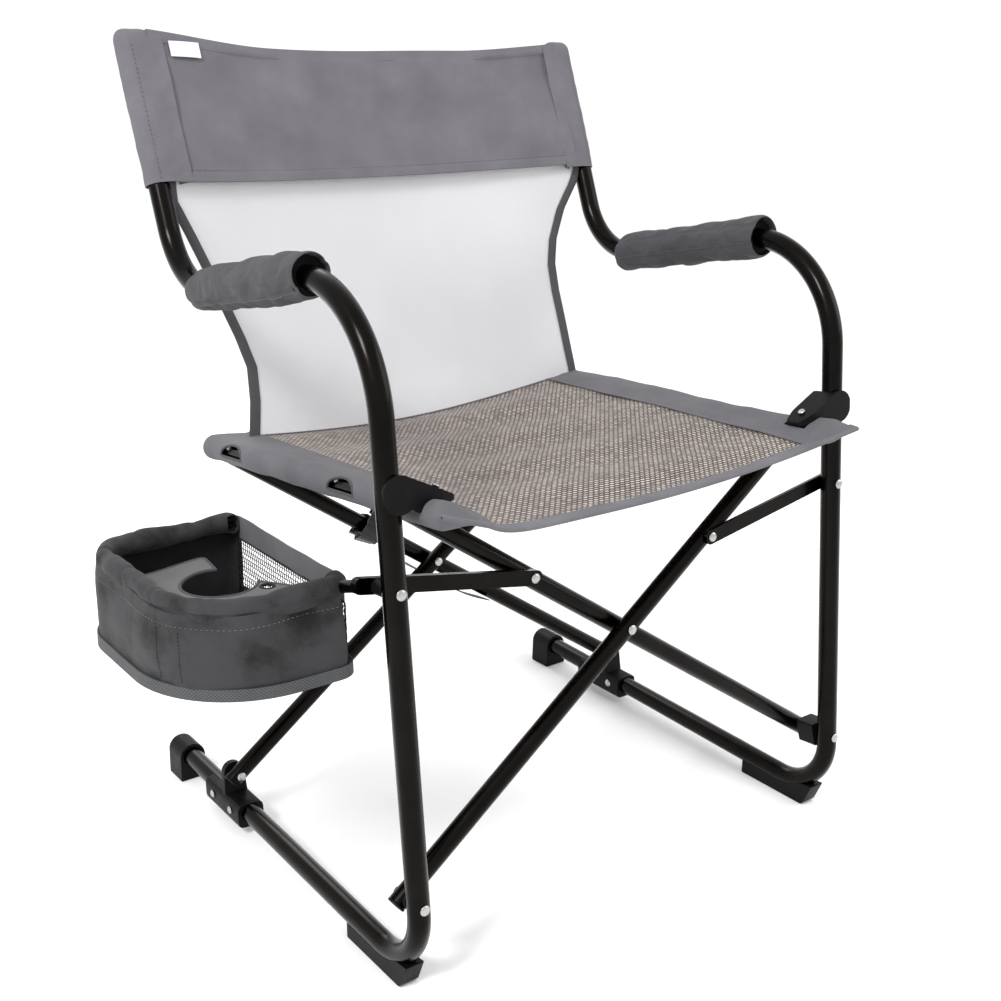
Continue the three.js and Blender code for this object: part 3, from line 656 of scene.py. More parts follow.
for node in sorted(nodes):
    if "rivet" in node or "screw" in node:
        refined(node, ZINC, width=0.0, rounds=2)
    elif "clip" in node:
        refined(node, PLASTIC, width=2.2)
    elif any(part in node for part in ("foot_", "bracket", "plug", "spacer", "washer")):
        refined(node, PLASTIC, width=0.9)
    elif node.startswith("link_") and "rivet" not in node:
        refined(node, BRONZE, width=1.2)

# ---------------------------------------------------------------- seat
SLEEVE_R = 13.0
SLEEVE_D = (-38.5, 426)
CUTOUTS = (356, 124)
CUTOUT_LOW = RAIL_N - 1.5
CUTOUT_TALL = 12.5
CUTOUT_HALF = 24.0
CLIP_HALF = 14.5          # half length of the opening for the clip on the leg
TUBE_ROOM = 2.0           # room round a cross tube that passes through the sleeve
RAIL_SCREW = ((7.6, 6.2), (9.6, 8.0))     # a screw head's two ends, out and up from the rail
BINDING_LIP = 1.9
EDGE_PROFILE = {          # height of the seat's edge at each depth, just inside its sleeve
    -1: [(-40, 350), (0, 356), (100, 362), (250, 368), (402, 373)],
    1: [(-40, 355), (30, 362), (100, 366), (182, 373), (297, 379), (402, 386)],
}
TIP_X = {-1: 252.0, 1: 274.0}     # how far the sleeve reaches in front of the leg
TIP_RISE = {-1: 0.34, 1: 0.13}


def edge_n(side, d):
    depths, heights = np.array(EDGE_PROFILE[side], float).T
    return np.interp(d, depths, heights)


def outer_x(side, d):
    """How far out the sleeve reaches. In front of the leg it narrows to its tip."""
    splay = (13.0 if side > 0 else 0.0) * smooth(60, 250, d) * (1 - 0.7 * smooth(300, 400, d))
    tip = (TIP_X[side] - RAIL_X - SLEEVE_R) * smooth(-16, -38, d)
    return RAIL_X + SLEEVE_R + splay + tip


def front_sag(x):
    """The front edge hangs flat from the left and climbs to the right."""
    line = 350.0 + 5.0 * (x + SEAT_X) / (2 * SEAT_X)
    right = 16.0 * (np.maximum(0, x + 60) / 265) ** 2
    left = 11.0 * (np.maximum(0, -60 - x) / 145) ** 8
    return line - 339.0 - right - left


def seat_n(x, d):
    """The height of the seat: slack at the front and the rear, with faint bands across it."""
    share = (x + SEAT_X) / (2 * SEAT_X)
    edge = edge_n(-1, d) * (1 - share) + edge_n(1, d) * share
    middle = np.abs(1 - (x / SEAT_X) ** 2)
    rear_sag = 10.0 * middle ** 0.85
    way = smooth(-38, 330, d)
    bands = 2.1 * np.sin(d / 17.0 + x / 130.0) + 1.6 * np.sin(d / 38.0 - x / 90.0)
    bands = bands * middle ** 0.5 * smooth(-39, 0, d)
    return edge - front_sag(x) * (1 - way) - rear_sag * way + bands


def flex(made):
    """Bakes a piece's placement into its mesh."""
    middle_x = LEANING((0, 0, 0))[0]
    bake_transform(made)
    return made


def flex_seat(made):
    return flex(made)


def flex_back(made):
    return flex(made)


xs = np.linspace(-SEAT_X - 4, SEAT_X + 4, 91)
ds = np.linspace(*SEAT_D, 97)
X, D = np.meshgrid(xs, ds)
seat = cloth("seat_cloth_woven", LEANING(spots_at(X, D, seat_n(X, D))), WEAVE_T, SEAT_WEAVE,
             threads=np.stack([X, D], axis=2) * MM)
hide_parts("seat_cloth_left", "seat_cloth_right")
flex_seat(seat)


def edge_strip(name, d0, d1, rises, look, x_span):
    """A bound edge of the seat: a strip folded round it, from d0 on top to d1 at the edge."""
    xs = np.linspace(*x_span, 101)
    lip = BINDING_LIP
    half_way = (d0 + d1) / 2
    turn = 1 if d1 > d0 else -1
    section = [(d0, lip), (half_way, lip + 0.15), (d1, lip * 0.9)]
    section += [(d1 + turn * lip * math.sin(a), lip * math.cos(a)) for a in (0.8, 1.57, 2.4)]
    section += [(d1, -lip * 0.9), (half_way, -lip - 0.1), (d0, -lip)]
    inside = np.clip(xs, -SEAT_X, SEAT_X)
    past = (np.abs(xs) - np.abs(inside)) * np.where(xs < 0, rises[-1], rises[1])
    rows = [spots_at(xs, d, seat_n(inside, d) + past + n) for d, n in section]
    flex_seat(cloth(name, LEANING(rows), BINDING_T, look))


def seam(name, line, out, look, **thread):
    """Stitches along a line whose outward direction is the same all along it."""
    return stitches(name, line, np.tile(out, (len(line), 1)), look, **thread)


edge_strip("seat_front_binding", -29, -39.5, TIP_RISE, EDGE_CLOTH, (-TIP_X[-1], TIP_X[1]))
edge_strip("seat_rear_binding", 396, 401.5, {-1: 0.0, 1: 0.0}, SLEEVE_CLOTH, (-214, 214))
xs = np.linspace(-208, 208, 160)
for label, d in (("front", -30.5), ("rear", 393.5)):
    line = LEANING(spots_at(xs, d, seat_n(xs, d) + 2.4))
    flex_seat(seam(f"seat_{label}_stitches", line, LEANING.axes[2], THREAD))


def sleeve_section(side, d):
    """The pocket round a rail at depth d: flat from the seam, then round the rail and back."""
    inner = SEAT_X - 6
    seam_n = float(edge_n(side, d))
    out = float(outer_x(side, d))
    reach = out - RAIL_X
    lift = (float(edge_n(side, 400)) - 370.0) * float(smooth(60, 400, d)) if side > 0 else 0.0
    flat = float(smooth(-27, -38, d))
    over = RAIL_N + SLEEVE_R + lift
    under = RAIL_N - SLEEVE_R
    points = [(inner, seam_n + 1.6)]
    points += [(x, seam_n + (over - seam_n) * float(smooth(inner - 8, RAIL_X + 2, x)))
               for x in np.linspace(inner + 5, RAIL_X - 4, 14)]
    for a in np.linspace(math.pi / 2, -math.pi / 2, 17):
        tall = SLEEVE_R + (lift if a > 0 else lift * 0.2)
        points.append((RAIL_X + reach * math.cos(a), RAIL_N + tall * math.sin(a)))
    points += [(x, under + (seam_n - 1.6 - under) * float(smooth(RAIL_X, inner - 2, x)))
               for x in np.linspace(RAIL_X - 6, inner + 4, 11)]
    points.append((inner, seam_n - 1.6))
    level = [seam_n + (x - SEAT_X) * TIP_RISE[side] for x, _ in points]
    return [(side * x, n + (base + max(-1.0, min(1.0, n - base)) - n) * flat)
            for (x, n), base in zip(points, level)]


def cutout_rim(side, centre):
    """The edge of an opening in the sleeve, on its round outer face."""
    rim = []
    for a in np.linspace(0, math.pi, 24):
        n = CUTOUT_LOW + CUTOUT_TALL * math.sin(a) ** 0.7 - RAIL_N
        out = math.sqrt(max(0.0, SLEEVE_R ** 2 - n ** 2))
        rim.append((side * (RAIL_X + out), centre + CUTOUT_HALF * math.cos(a), RAIL_N + n))
    low_x = side * (RAIL_X + SLEEVE_R)
    steps = np.linspace(-CUTOUT_HALF, CUTOUT_HALF, 12)[1:-1]
    rim += [(low_x, centre + step, CUTOUT_LOW) for step in steps]
    return LEANING(rim + rim[:1])


def seat_sleeve(name, side):
    ds = np.unique(np.concatenate([np.linspace(*SLEEVE_D, 130)]
                                  + [c + np.linspace(-1, 1, 40) * (CUTOUT_HALF + 2)
                                     for c in CUTOUTS]))
    grid = np.array([[(x, d, n) for x, n in sleeve_section(side, d)] for d in ds])
    body = LEANING(grid)
    wrinkle = ripple(body, 26, 0.9, 3 + side, (1, 0.6, 1)) + ripple(body, 70, 1.1, 8 + side)
    calm = smooth(0, 22, np.minimum(grid[..., 1] - SLEEVE_D[0], SLEEVE_D[1] - grid[..., 1]))
    held = 1 - smooth(12, 34, SEAT_X + 34 - np.abs(grid[..., 0]))
    body = body + grid_normals(body) * side * (np.abs(wrinkle) * calm * held)[..., None] * MM
    cells = (grid[:-1, :-1] + grid[1:, :-1] + grid[:-1, 1:] + grid[1:, 1:]) / 4
    x, d, n = side * cells[..., 0], cells[..., 1], cells[..., 2]
    keep = np.ones(x.shape, bool)
    keep &= ~((np.abs(d) < CLIP_HALF) & (x > RAIL_X - 22) & (n > RAIL_N + 2))
    for centre in CUTOUTS:
        along = (d - centre) / CUTOUT_HALF
        height = CUTOUT_LOW + CUTOUT_TALL * np.clip(1 - along ** 2, 0, 1) ** 0.35
        keep &= ~((np.abs(along) < 1) & (x > RAIL_X + 2) & (n > CUTOUT_LOW) & (n < height))
    for middle in (FRONT_MID_D, REAR_MID_D):
        at_tube = np.abs(d - (middle - side * SCISSOR_STEP / 2)) < CROSS_R + TUBE_ROOM
        keep &= ~(at_tube & (x > RAIL_X - 26) & (x < RAIL_X + 4) & (n < RAIL_N - 4))
    made = cloth(f"seat_sleeve_{name}_cloth", body, SLEEVE_T, SLEEVE_CLOTH, keep=keep)
    stand_for(made, f"seat_sleeve_{name}")
    for k, centre in enumerate(CUTOUTS):
        rim = cutout_rim(side, centre)
        tube(f"cutout_binding_{name}_{k + 1}", rim, 1.3, BINDING_CLOTH, 10).parent = made
        head = LEANING([(side * (RAIL_X + out), centre + 12, RAIL_N + up)
                        for out, up in RAIL_SCREW])
        tube(f"rail_screw_{name}_{k + 1}", head, 2.6, ZINC, 20).parent = made
    for label, x_at in (("inner", SEAT_X - 2.5), ("outer", SEAT_X + 4.0)):
        line = []
        for d in np.linspace(-34, 422, 200):
            xs, ns = np.array(sleeve_section(side, d)[:16]).T
            line.append((side * x_at, d, np.interp(x_at, np.abs(xs), ns) + 0.7))
        row = seam(f"sleeve_{label}_stitches_{name}", LEANING(line), LEANING.axes[2], THREAD)
        row.parent = made


for name, side in SIDES.items():
    seat_sleeve(name, side)

# ---------------------------------------------------------------- back
POST_R = 13.4
SEAM_X = 246.0
POST_TOP = 270.5
POCKET_SIDE = 0.92        # share of the pocket's height below its closed round top
LABEL_X = (-240, -206)
LABEL_S = (240, 256)


def band_top(x):
    return BAND_S[1] - 9.0 * (1 - smooth(120, 285, np.abs(x))) + 1.5 * np.sin(x / 60.0)


def band_low(x):
    return BAND_S[0] + 1.5 * np.sin(x / 95.0 + 1.0) + 3.0 * smooth(0, 270, x)


def band_r(x, share):
    sag = 19.0 * (1 - (np.abs(x) / 268.0) ** 2)
    return sag - POST_R * 0.9 + 2.2 * np.sin(x / 48.0 + share * 2.0) * np.sin(share * math.pi)


xs = np.linspace(-262, 262, 120)
shares = np.concatenate([np.linspace(0, 0.07, 6), np.linspace(0.1, 0.9, 34),
                         np.linspace(0.93, 1, 6)])
X, T = np.meshgrid(xs, shares)
S = band_low(X) + (band_top(X) - band_low(X)) * T
hem = smooth(0.075, 0.06, T) + smooth(0.925, 0.94, T)
band_points = POSTS(spots_at(X, band_r(X, T), S))
folds = ripple(band_points, 55, 1.6, 5) + ripple(band_points, 130, 2.6, 9, (1, 1, 1.6))
push = folds * (1 - hem) - 1.1 * hem
band_points = band_points + POSTS.axes[1] * push[..., None] * MM
band = cloth("back_band_cloth", band_points, BAND_T, BAND_CLOTH)
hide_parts("back_band_left", "back_band_right")
flex_back(band)
xs = np.linspace(-250, 250, 200)
for label, share in (("low", 0.078), ("top", 0.922)):
    heights = band_low(xs) + (band_top(xs) - band_low(xs)) * share
    line = POSTS(spots_at(xs, band_r(xs, share) - 1.7, heights))
    flex_back(seam(f"band_{label}_stitches", line, -POSTS.axes[1], DARK_THREAD))


def post_sleeve(name, side):
    """A pocket over the post, closed at the top, with a flap sewn on the band."""
    rows = []
    inner, outer = SEAM_X, SIDE_X - 6
    low, top_in = BAND_S[0] - 1, float(band_top(inner))
    front = float(band_r(inner, 0.5)) - 1.9
    closing = 1 - POCKET_SIDE
    rounds = POCKET_SIDE + closing * np.sin(np.linspace(0.15, 1.57, 10))
    for share in np.concatenate([np.linspace(0, POCKET_SIDE, 48), rounds]):
        past = max(0.0, (share - POCKET_SIDE) / closing)
        close = math.sqrt(max(0.02, 1 - past ** 2))
        deep = POST_R * close
        wide = POST_R * (0.35 + 0.65 * close)
        section = [(x, front + (-deep * 1.02 - front) * float(smooth(inner, outer, x)))
                   for x in np.linspace(inner, outer, 12)]
        section += [(SIDE_X + wide * math.cos(a), deep * math.sin(a))
                    for a in np.linspace(-1.35, 1.35, 22)]
        section += [(x, deep + (front + 3.8 - deep) * float(smooth(outer, inner, x)))
                    for x in np.linspace(outer, inner, 10)]
        row = []
        for x, r in section:
            top = top_in + (POST_TOP - top_in) * float(smooth(inner, SIDE_X - 10, x))
            row.append((side * x, r, low + (top - low) * share))
        rows.append(row)
    body = POSTS(rows)
    wrinkle = np.abs(ripple(body, 34, 1.0, 12 + side, (1, 1, 0.45)) + ripple(body, 12, 0.3, 2))
    body = body + grid_normals(body) * side * wrinkle[..., None] * MM
    made = cloth(f"back_sleeve_{name}_cloth", body, POCKET_T, BAND_CLOTH)
    stand_for(made, f"back_sleeve_{name}")
    line = spots_at(side * (SIDE_X + 2), -POST_R - 1.0, np.linspace(BAND_S[0] + 2, 256, 60))
    row = seam(f"post_stitches_{name}", POSTS(line), -POSTS.axes[1], DARK_THREAD)
    row.parent = made


for name, side in SIDES.items():
    post_sleeve(name, side)

X, S = np.meshgrid(np.linspace(*LABEL_X, 12), np.linspace(*LABEL_S, 8))
curl = 0.8 * np.sin((X - LABEL_X[0]) / (LABEL_X[1] - LABEL_X[0]) * math.pi)
tab = POSTS(spots_at(X, band_r(X, 0.93) - 3.4 - curl, S))
label = cloth("back_label", tab, LABEL_T, LABEL)
flex_back(label)


# the white mesh and its dark edges
def mesh_half(side, t):
    heights, widths = np.array(MESH_EDGE[side], float).T
    return np.minimum(np.interp(t, heights, widths), MESH_LIMIT)


def mesh_at(x, t):
    """Places on the mesh, which runs from the seat's rear edge to the band with a little sag."""
    x, t = np.broadcast_arrays(np.asarray(x, float), np.asarray(t, float))
    share = t / MESH_HEIGHT
    inside = np.clip(x, -SEAT_X, SEAT_X)
    foot = seat_n(inside, MESH_FOOT_D) + 0.12 * (np.abs(x) - np.abs(inside)) + 1.0
    low = LEANING(spots_at(x, MESH_FOOT_D, foot))
    top = POSTS(spots_at(x, band_r(x, 0.0) + 5.5, band_low(x) + 12.0))
    sag = 9.0 * np.sin(np.clip(share, 0, 1) * 2.6) * (1 - (x / 290) ** 2)
    sag = (sag + np.sin(t / 40.0 + x / 70.0)) * smooth(-0.05, 0.2, share)
    return low + (top - low) * share[..., None] + MESH.axes[1] * sag[..., None] * MM


ts = np.linspace(0, MESH_HEIGHT + 9, 74)
us = np.linspace(-1, 1, 81)
U, T = np.meshgrid(us, ts)
X = np.where(U < 0, U * (mesh_half(-1, T) - 3), U * (mesh_half(1, T) - 3))
panel = cloth("back_mesh_cloth", mesh_at(X, T), MESH_T, WHITE_MESH)
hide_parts("back_mesh_left", "back_mesh_right")
flex_back(panel)

half_section = np.array([(-11, 1.3), (-6, 1.6), (-2, 1.5), (0.2, 0.6)])
section = np.vstack([half_section * (1, -1), half_section[::-1]])
proud = np.outer(section[:, 1], MESH.axes[1] * MM)
for name, side in SIDES.items():
    rows = [mesh_at(side * (mesh_half(side, t) + section[:, 0]), t) + proud
            for t in np.linspace(0, MESH_HEIGHT + 2, 90)]
    flex_back(cloth(f"mesh_binding_{name}", rows, BINDING_T, BINDING_CLOTH))

# ---------------------------------------------------------------- arm pads
ARM_Y = (-313, -88)
COVER_R = 21.0
FOAM_R = 18.3
PAD_SEAMS = (2.45, 3.55, 5.6)      # angles of the seams round each arm
PAD_ROUND = 48                     # points of a cover round the arm
PUFF_FRAMES = 20
PUFF_LIMIT = 1.8
PUFF = {"quality": 6, "mass": 0.003, "use_pressure": True, "uniform_pressure_force": 4.0,
        "shrink_min": -0.014, "tension_stiffness": 5.0, "compression_stiffness": 5.0,
        "shear_stiffness": 5.0, "bending_stiffness": 0.3, "vertex_group_mass": "held"}


def on_arm(y):
    slope = (BACK_CORNER[1] - ARM_CORNER[1]) / (BACK_CORNER[0] - ARM_CORNER[0])
    return ARM_CORNER[1] + slope * (y - ARM_CORNER[0])


def puffed(points, held):
    """A closed-round grid of cloth blown out by the cloth solver between its held lines. The
    cloth is cut a little full, and no point moves more than PUFF_LIMIT millimetres."""
    rows, cols = points.shape[:2]
    faces = grid_faces(rows, cols, closed=True)
    mesh = bpy.data.meshes.new("blank")
    mesh.from_pydata([tuple(p) for p in points.reshape(-1, 3)], [], faces)
    facing = Vector(mesh.polygons[0].center) - Vector(points[0].mean(0))
    if facing.dot(mesh.polygons[0].normal) < 0:
        mesh.flip_normals()
    blank = shown("blank", mesh)
    group = blank.vertex_groups.new(name="held")
    group.add([int(i) for i in np.flatnonzero(held)], 1.0, "REPLACE")
    solver = blank.modifiers.new("cloth", "CLOTH")
    set_all(solver.settings, **PUFF)
    solver.settings.effector_weights.gravity = 0.0
    solver.collision_settings.use_collision = False
    set_all(solver.point_cache, frame_start=1, frame_end=PUFF_FRAMES)
    scene = bpy.context.scene
    for step in range(1, PUFF_FRAMES + 1):
        scene.frame_set(step)
    done = blank.evaluated_get(bpy.context.evaluated_depsgraph_get()).to_mesh()
    spots = np.zeros(rows * cols * 3)
    done.vertices.foreach_get("co", spots)
    move = spots.reshape(points.shape) - points
    far = np.linalg.norm(move, axis=2, keepdims=True)
    bpy.data.objects.remove(blank)
    scene.frame_set(1)
    return points + move * np.minimum(1, PUFF_LIMIT * MM / np.maximum(far, 1e-9))


def arm_pad(name, side):
    ys = np.linspace(*ARM_Y, 64)
    seams = [int(round(a / (2 * math.pi) * PAD_ROUND)) for a in PAD_SEAMS]
    Y, A = np.meshgrid(ys, around(PAD_ROUND), indexing="ij")
    share = (Y - ARM_Y[0]) / (ARM_Y[1] - ARM_Y[0])
    swell = 0.8 * np.sin(share * math.pi) + 0.6 * np.sin(share * 7.0 + side)
    radius = COVER_R + swell - 1.4 * np.exp(-np.minimum(Y - ARM_Y[0], ARM_Y[1] - Y) / 3.0)
    radius[:, seams] -= 1.3
    body = FLOOR(spots_at(side * (SIDE_X + radius * np.cos(A)), Y, on_arm(Y) + radius * np.sin(A)))
    centre = FLOOR(spots_at(side * SIDE_X, ys, on_arm(ys)))
    out = unit(body - centre[:, None])
    wrinkle = ripple(body, 16, 0.6, 20 + side, (1, 0.7, 1)) + ripple(body, 42, 1.1, 31 + side)
    body = body + out * wrinkle[..., None] * MM
    held = np.zeros(radius.shape, bool)
    held[:, seams] = True
    held[[0, -1]] = True
    body = puffed(body, held)
    made = cloth(f"arm_cover_{name}_cloth", body[::-1] if side > 0 else body, PAD_T, PAD_CLOTH,
                 closed=True)
    set_all(made.modifiers.new("finer", "SUBSURF"), levels=1, render_levels=1)
    stand_for(made, f"arm_cover_{name}")
    foam = tube(f"arm_foam_{name}_core", centre[2:-2], FOAM_R, FOAM, 32)
    stand_for(foam, f"arm_foam_{name}")
    for k, column in enumerate(seams):
        outs = out[1:-1, column - 1]
        line = body[1:-1, column - 1] + outs * 0.8 * MM
        stitches(f"arm_stitches_{name}_{k + 1}", line, outs, THREAD).parent = made


for name, side in SIDES.items():
    arm_pad(name, side)

# ---------------------------------------------------------------- basket
BAG_IN_X = -288.0
HOOP_IN_X = -296.0
BAG_OUT_X = -445.0
BAG_FRONT_Y = -379.0
BAG_BACK_Y = -142.0
BAG_CORNERS = [(BAG_OUT_X, BAG_BACK_Y), (BAG_OUT_X, BAG_FRONT_Y), (BAG_IN_X, BAG_FRONT_Y),
               (BAG_IN_X, BAG_BACK_Y)]
BAG_RADII = (48, 80, 15, 14)
FOOT_CORNERS = [(-447.0, -130.0), (-447.0, -376.0), (-285.0, -376.0), (-285.0, -136.0)]
FOOT_RADII = (60, 104, 16, 14)
BAG_MIDDLE = np.array(((BAG_IN_X + BAG_OUT_X) / 2, (BAG_FRONT_Y + BAG_BACK_Y) / 2))
OUTLINE_POINTS = 240
RIM_LONG = 230            # points of the rim along the hoop and round it
RIM_ROUND = 40
RIM_FOLDS = (62, 88, 118, 150, 176, 205)
POCKET_SEAMS_Y = (-318, -348)


def outward(spots, tangent):
    """Directions square to a line round the bag, away from its middle."""
    out = unit(np.stack([tangent[:, 1], -tangent[:, 0]], axis=1))
    return out if ((spots - BAG_MIDDLE) * out).sum() > 0 else -out


def bag_outline(corners, radii):
    """Evenly spaced points round the bag and their outward directions, from the middle of its
    back round its outer side and its front to the side at the chair."""
    corners = [np.array((x, y, 0.0)) for x, y in corners]
    start = (corners[3] + corners[0]) / 2
    path = rounded_path([start, *corners, start], radii)[:, :2]
    spots = along_path(np.linspace(0, distances(path)[-1], OUTLINE_POINTS, endpoint=False), path)
    return spots, outward(spots, np.roll(spots, -1, 0) - np.roll(spots, 1, 0))


OUTLINE, OUTWARD = bag_outline(BAG_CORNERS, BAG_RADII)
FOOTPRINT = bag_outline(FOOT_CORNERS, FOOT_RADII)[0]
AT_CHAIR = (OUTLINE[:, 0] > BAG_IN_X - 17) & (OUTLINE[:, 1] < BAG_BACK_Y - 8)


def way_down(z):
    return (BAG_TOP - z) / (BAG_TOP - BAG_BOTTOM)


def bag_ring(z, offset):
    return OUTLINE + (FOOTPRINT - OUTLINE) * way_down(z) + OUTWARD * offset


def in_order(which):
    """The places of a stretch of the outline, one after the other even past its start."""
    index = np.flatnonzero(which)
    jumps = np.flatnonzero(np.diff(index) > 1)
    return np.roll(index, -(jumps[0] + 1)) if len(jumps) else index


SURFACES = {}             # each wall's outline grid, its finished points and its directions


def bag_wall(name, which, zs, offset, thickness, look, rough, seed, bulge=0.0):
    index = in_order(which)
    rows = []
    for z in zs:
        ring = bag_ring(z, offset + bulge * math.sin(np.clip(way_down(z), 0, 1) * math.pi))
        rows.append(spots_at(*ring[index].T, z))
    grid = np.array(rows)
    body = FLOOR(grid)
    push = ripple(body, 30, rough, seed, (1, 1, 0.8)) + ripple(body, 80, rough * 1.5, seed + 4)
    push = push * smooth(BAG_BOTTOM, BAG_BOTTOM + 18, grid[..., 2])
    side = np.concatenate([OUTWARD[index], np.zeros((len(index), 1))], axis=1)
    body = body + side[None] * push[..., None] * MM
    SURFACES[name] = (grid, body, side)
    return cloth(name, body, thickness, look)


wall_zs = np.concatenate([np.linspace(BAG_TOP - 3, BAG_TOP - 13, 5),
                          np.linspace(BAG_TOP - 15, BAG_BOTTOM + 1, 30)])
around_outside = ~AT_CHAIR
around_outside |= np.roll(around_outside, 2) | np.roll(around_outside, -2)
wall = bag_wall("basket_wall", around_outside, wall_zs, 0.0, BAG_T, BASKET_CLOTH, 1.1, 41,
                bulge=2.6)
lining = bag_wall("basket_lining", around_outside, wall_zs, -3.4, LINING_T, LINING_CLOTH, 0.9, 47,
                  bulge=1.0)


def net_panel(name, which, z0, z1, pitch, offset):
    """A net of crossed cords, each cell a hole. Every other row is half a cell over."""
    index = in_order(which)
    steps = distances(bag_ring(BAG_TOP, offset)[index])
    cols = int(steps[-1] / pitch)
    rows = int((z1 - z0) / pitch)
    verts = []
    for i in range(rows + 1):
        z = z0 + (z1 - z0) * i / rows
        over = np.full(cols + 1, 0.5 * (i % 2))
        over[[0, -1]] = 0
        at = steps[-1] * (np.arange(cols + 1) + over) / cols
        x, y = [np.interp(at, steps, column) for column in bag_ring(z, offset)[index].T]
        verts.append(spots_at(x, y, z))
    made = new_object(name, FLOOR(np.vstack(verts)), grid_faces(rows + 1, cols + 1), BLACK_NET)
    set_all(made.modifiers.new("cords", "WIREFRAME"), thickness=1.05 * MM, use_replace=True,
            use_even_offset=False)
    return made


net = net_panel("basket_net", AT_CHAIR, BAG_BOTTOM + 3, BAG_TOP - 18, 4.6, -1.0)
band_zs = np.linspace(BAG_TOP + 5, BAG_TOP - 21, 14)
near = (OUTLINE[:, 0] > BAG_IN_X - 4) & (OUTLINE[:, 1] > BAG_FRONT_Y + 14)
net_band = bag_wall("basket_net_band", near, band_zs, 0.6, NET_BAND_T, EDGE_CLOTH, 0.5, 52)

# rolled rim over the hoop
hoop = [(HOOP_IN_X, BAG_FRONT_Y + 8), (BAG_OUT_X + 8, BAG_FRONT_Y + 8),
        (BAG_OUT_X + 8, BAG_BACK_Y - 8), (HOOP_IN_X, BAG_BACK_Y - 8)]
hoop = [(HOOP_IN_X, BAG_FRONT_Y + 20)] + hoop + [(HOOP_IN_X, BAG_BACK_Y - 14)]
rim_path = rounded_path([(x, y, BAG_TOP) for x, y in hoop], (11, 72, 45, 5.5), 3.0)
rim_path = along_path(np.linspace(0, distances(rim_path)[-1], RIM_LONG), rim_path)
rim_outward = outward(rim_path[:, :2], np.gradient(rim_path[:, :2], axis=0))
place, angle = np.meshgrid(np.arange(RIM_LONG), around(RIM_ROUND), indexing="ij")
radius = 8.8 + 1.1 * np.sin(angle + place * 0.05)
droop = 2.6 * np.maximum(0.0, -np.sin(angle)) * np.where(np.cos(angle) > 0, 1, 0.4)
reach = rim_outward[:, None] * (radius * np.cos(angle))[..., None]
rise = radius * np.sin(angle) - droop
rim_body = FLOOR(rim_path[:, None] + np.concatenate([reach, rise[..., None]], axis=2))
creases = ripple(rim_body, 17, 0.8, 61) + ripple(rim_body, 44, 1.6, 66)
for fold in RIM_FOLDS:
    away = (place - fold - 3.0 * np.sin(np.linspace(0, 6.28, RIM_ROUND))) / 1.6
    creases = creases - 0.9 * np.exp(-away ** 2)
rim_body = rim_body + unit(rim_body - FLOOR(rim_path)[:, None]) * creases[..., None] * MM
rim = cloth("basket_rim", rim_body, RIM_T, BASKET_CLOTH, closed=True)

# woven trim and bottom
trim_zs = np.linspace(BAG_BOTTOM - 1, BAG_BOTTOM + 11, 7)
whole_ring = np.ones(len(OUTLINE), bool)
trim = bag_wall("basket_trim", whole_ring, trim_zs, 3.0, TRIM_T, TRIM_CLOTH, 0.35, 70)
discs = []
for share in np.linspace(1, 0.0, 16):
    ring = BAG_MIDDLE + (bag_ring(BAG_BOTTOM, 0.5) - BAG_MIDDLE) * max(share, 0.004)
    discs.append(spots_at(*ring.T, BAG_BOTTOM + 3.5 - 4.0 * (1 - share ** 2)))
discs = np.array(discs)
bottom_body = FLOOR(discs)
bottom_body[..., 2] += ripple(bottom_body, 40, 0.8, 75) * MM
bottom = cloth("basket_bottom", bottom_body, BOTTOM_T, LINING_CLOTH, closed=True,
               threads=discs[..., :2] * MM)

CUP_HOLE = (-350.0, -238.0, 36.0)
EYELET = (-317.0, -271.0, 6.5)
TONGUE = (-338.0, -177.0)     # the shelf's back corner beside the notch
NOTCH = ((-318.0, -254.0), (-286.0, -300.0))      # from the hole to the side at the chair
PAST_BAG = (-520.0, -200.0)   # limits of the sheet that the shelf is cut from, outside the bag
TONGUE_R = 5.0
TONGUE_LIFT = 5.0


def inside_ring(ring, x, y):
    """Whether each point lies inside a closed outline."""
    inside = np.zeros(x.shape, bool)
    for (x0, y0), (x1, y1) in zip(np.roll(ring, 1, 0), ring):
        if y0 == y1:
            continue
        crosses = (y0 > y) != (y1 > y)
        inside ^= crosses & (x < (x1 - x0) * (y - y0) / (y1 - y0) + x0)
    return inside


def shelf_edge():
    """The shelf's cut edge from the outer wall round the tongue, the hole and the notch."""
    x, y, radius = CUP_HOLE
    start = math.atan2(math.sqrt(radius ** 2 - (TONGUE[0] - x) ** 2), TONGUE[0] - x)
    end = math.atan2(NOTCH[0][1] - y, math.sqrt(radius ** 2 - (NOTCH[0][1] - y) ** 2))
    arc = [(x + radius * math.cos(a), y + radius * math.sin(a))
           for a in np.linspace(start, end + 2 * math.pi, 60)]
    tip = [(TONGUE[0] + TONGUE_R * (math.cos(a) - 1), TONGUE[1] + TONGUE_R * (math.sin(a) - 1))
           for a in np.linspace(math.pi / 2, 0, 8)]
    outer, inner = PAST_BAG
    return np.array([(outer, TONGUE[1])] + tip + arc + [*NOTCH, (inner, NOTCH[1][1])])


def tongue_lift(x, y):
    """How far the shelf's tongue curls up towards the chair's back."""
    return TONGUE_LIFT * smooth(-215, TONGUE[1], y) * smooth(-400, TONGUE[0], x)


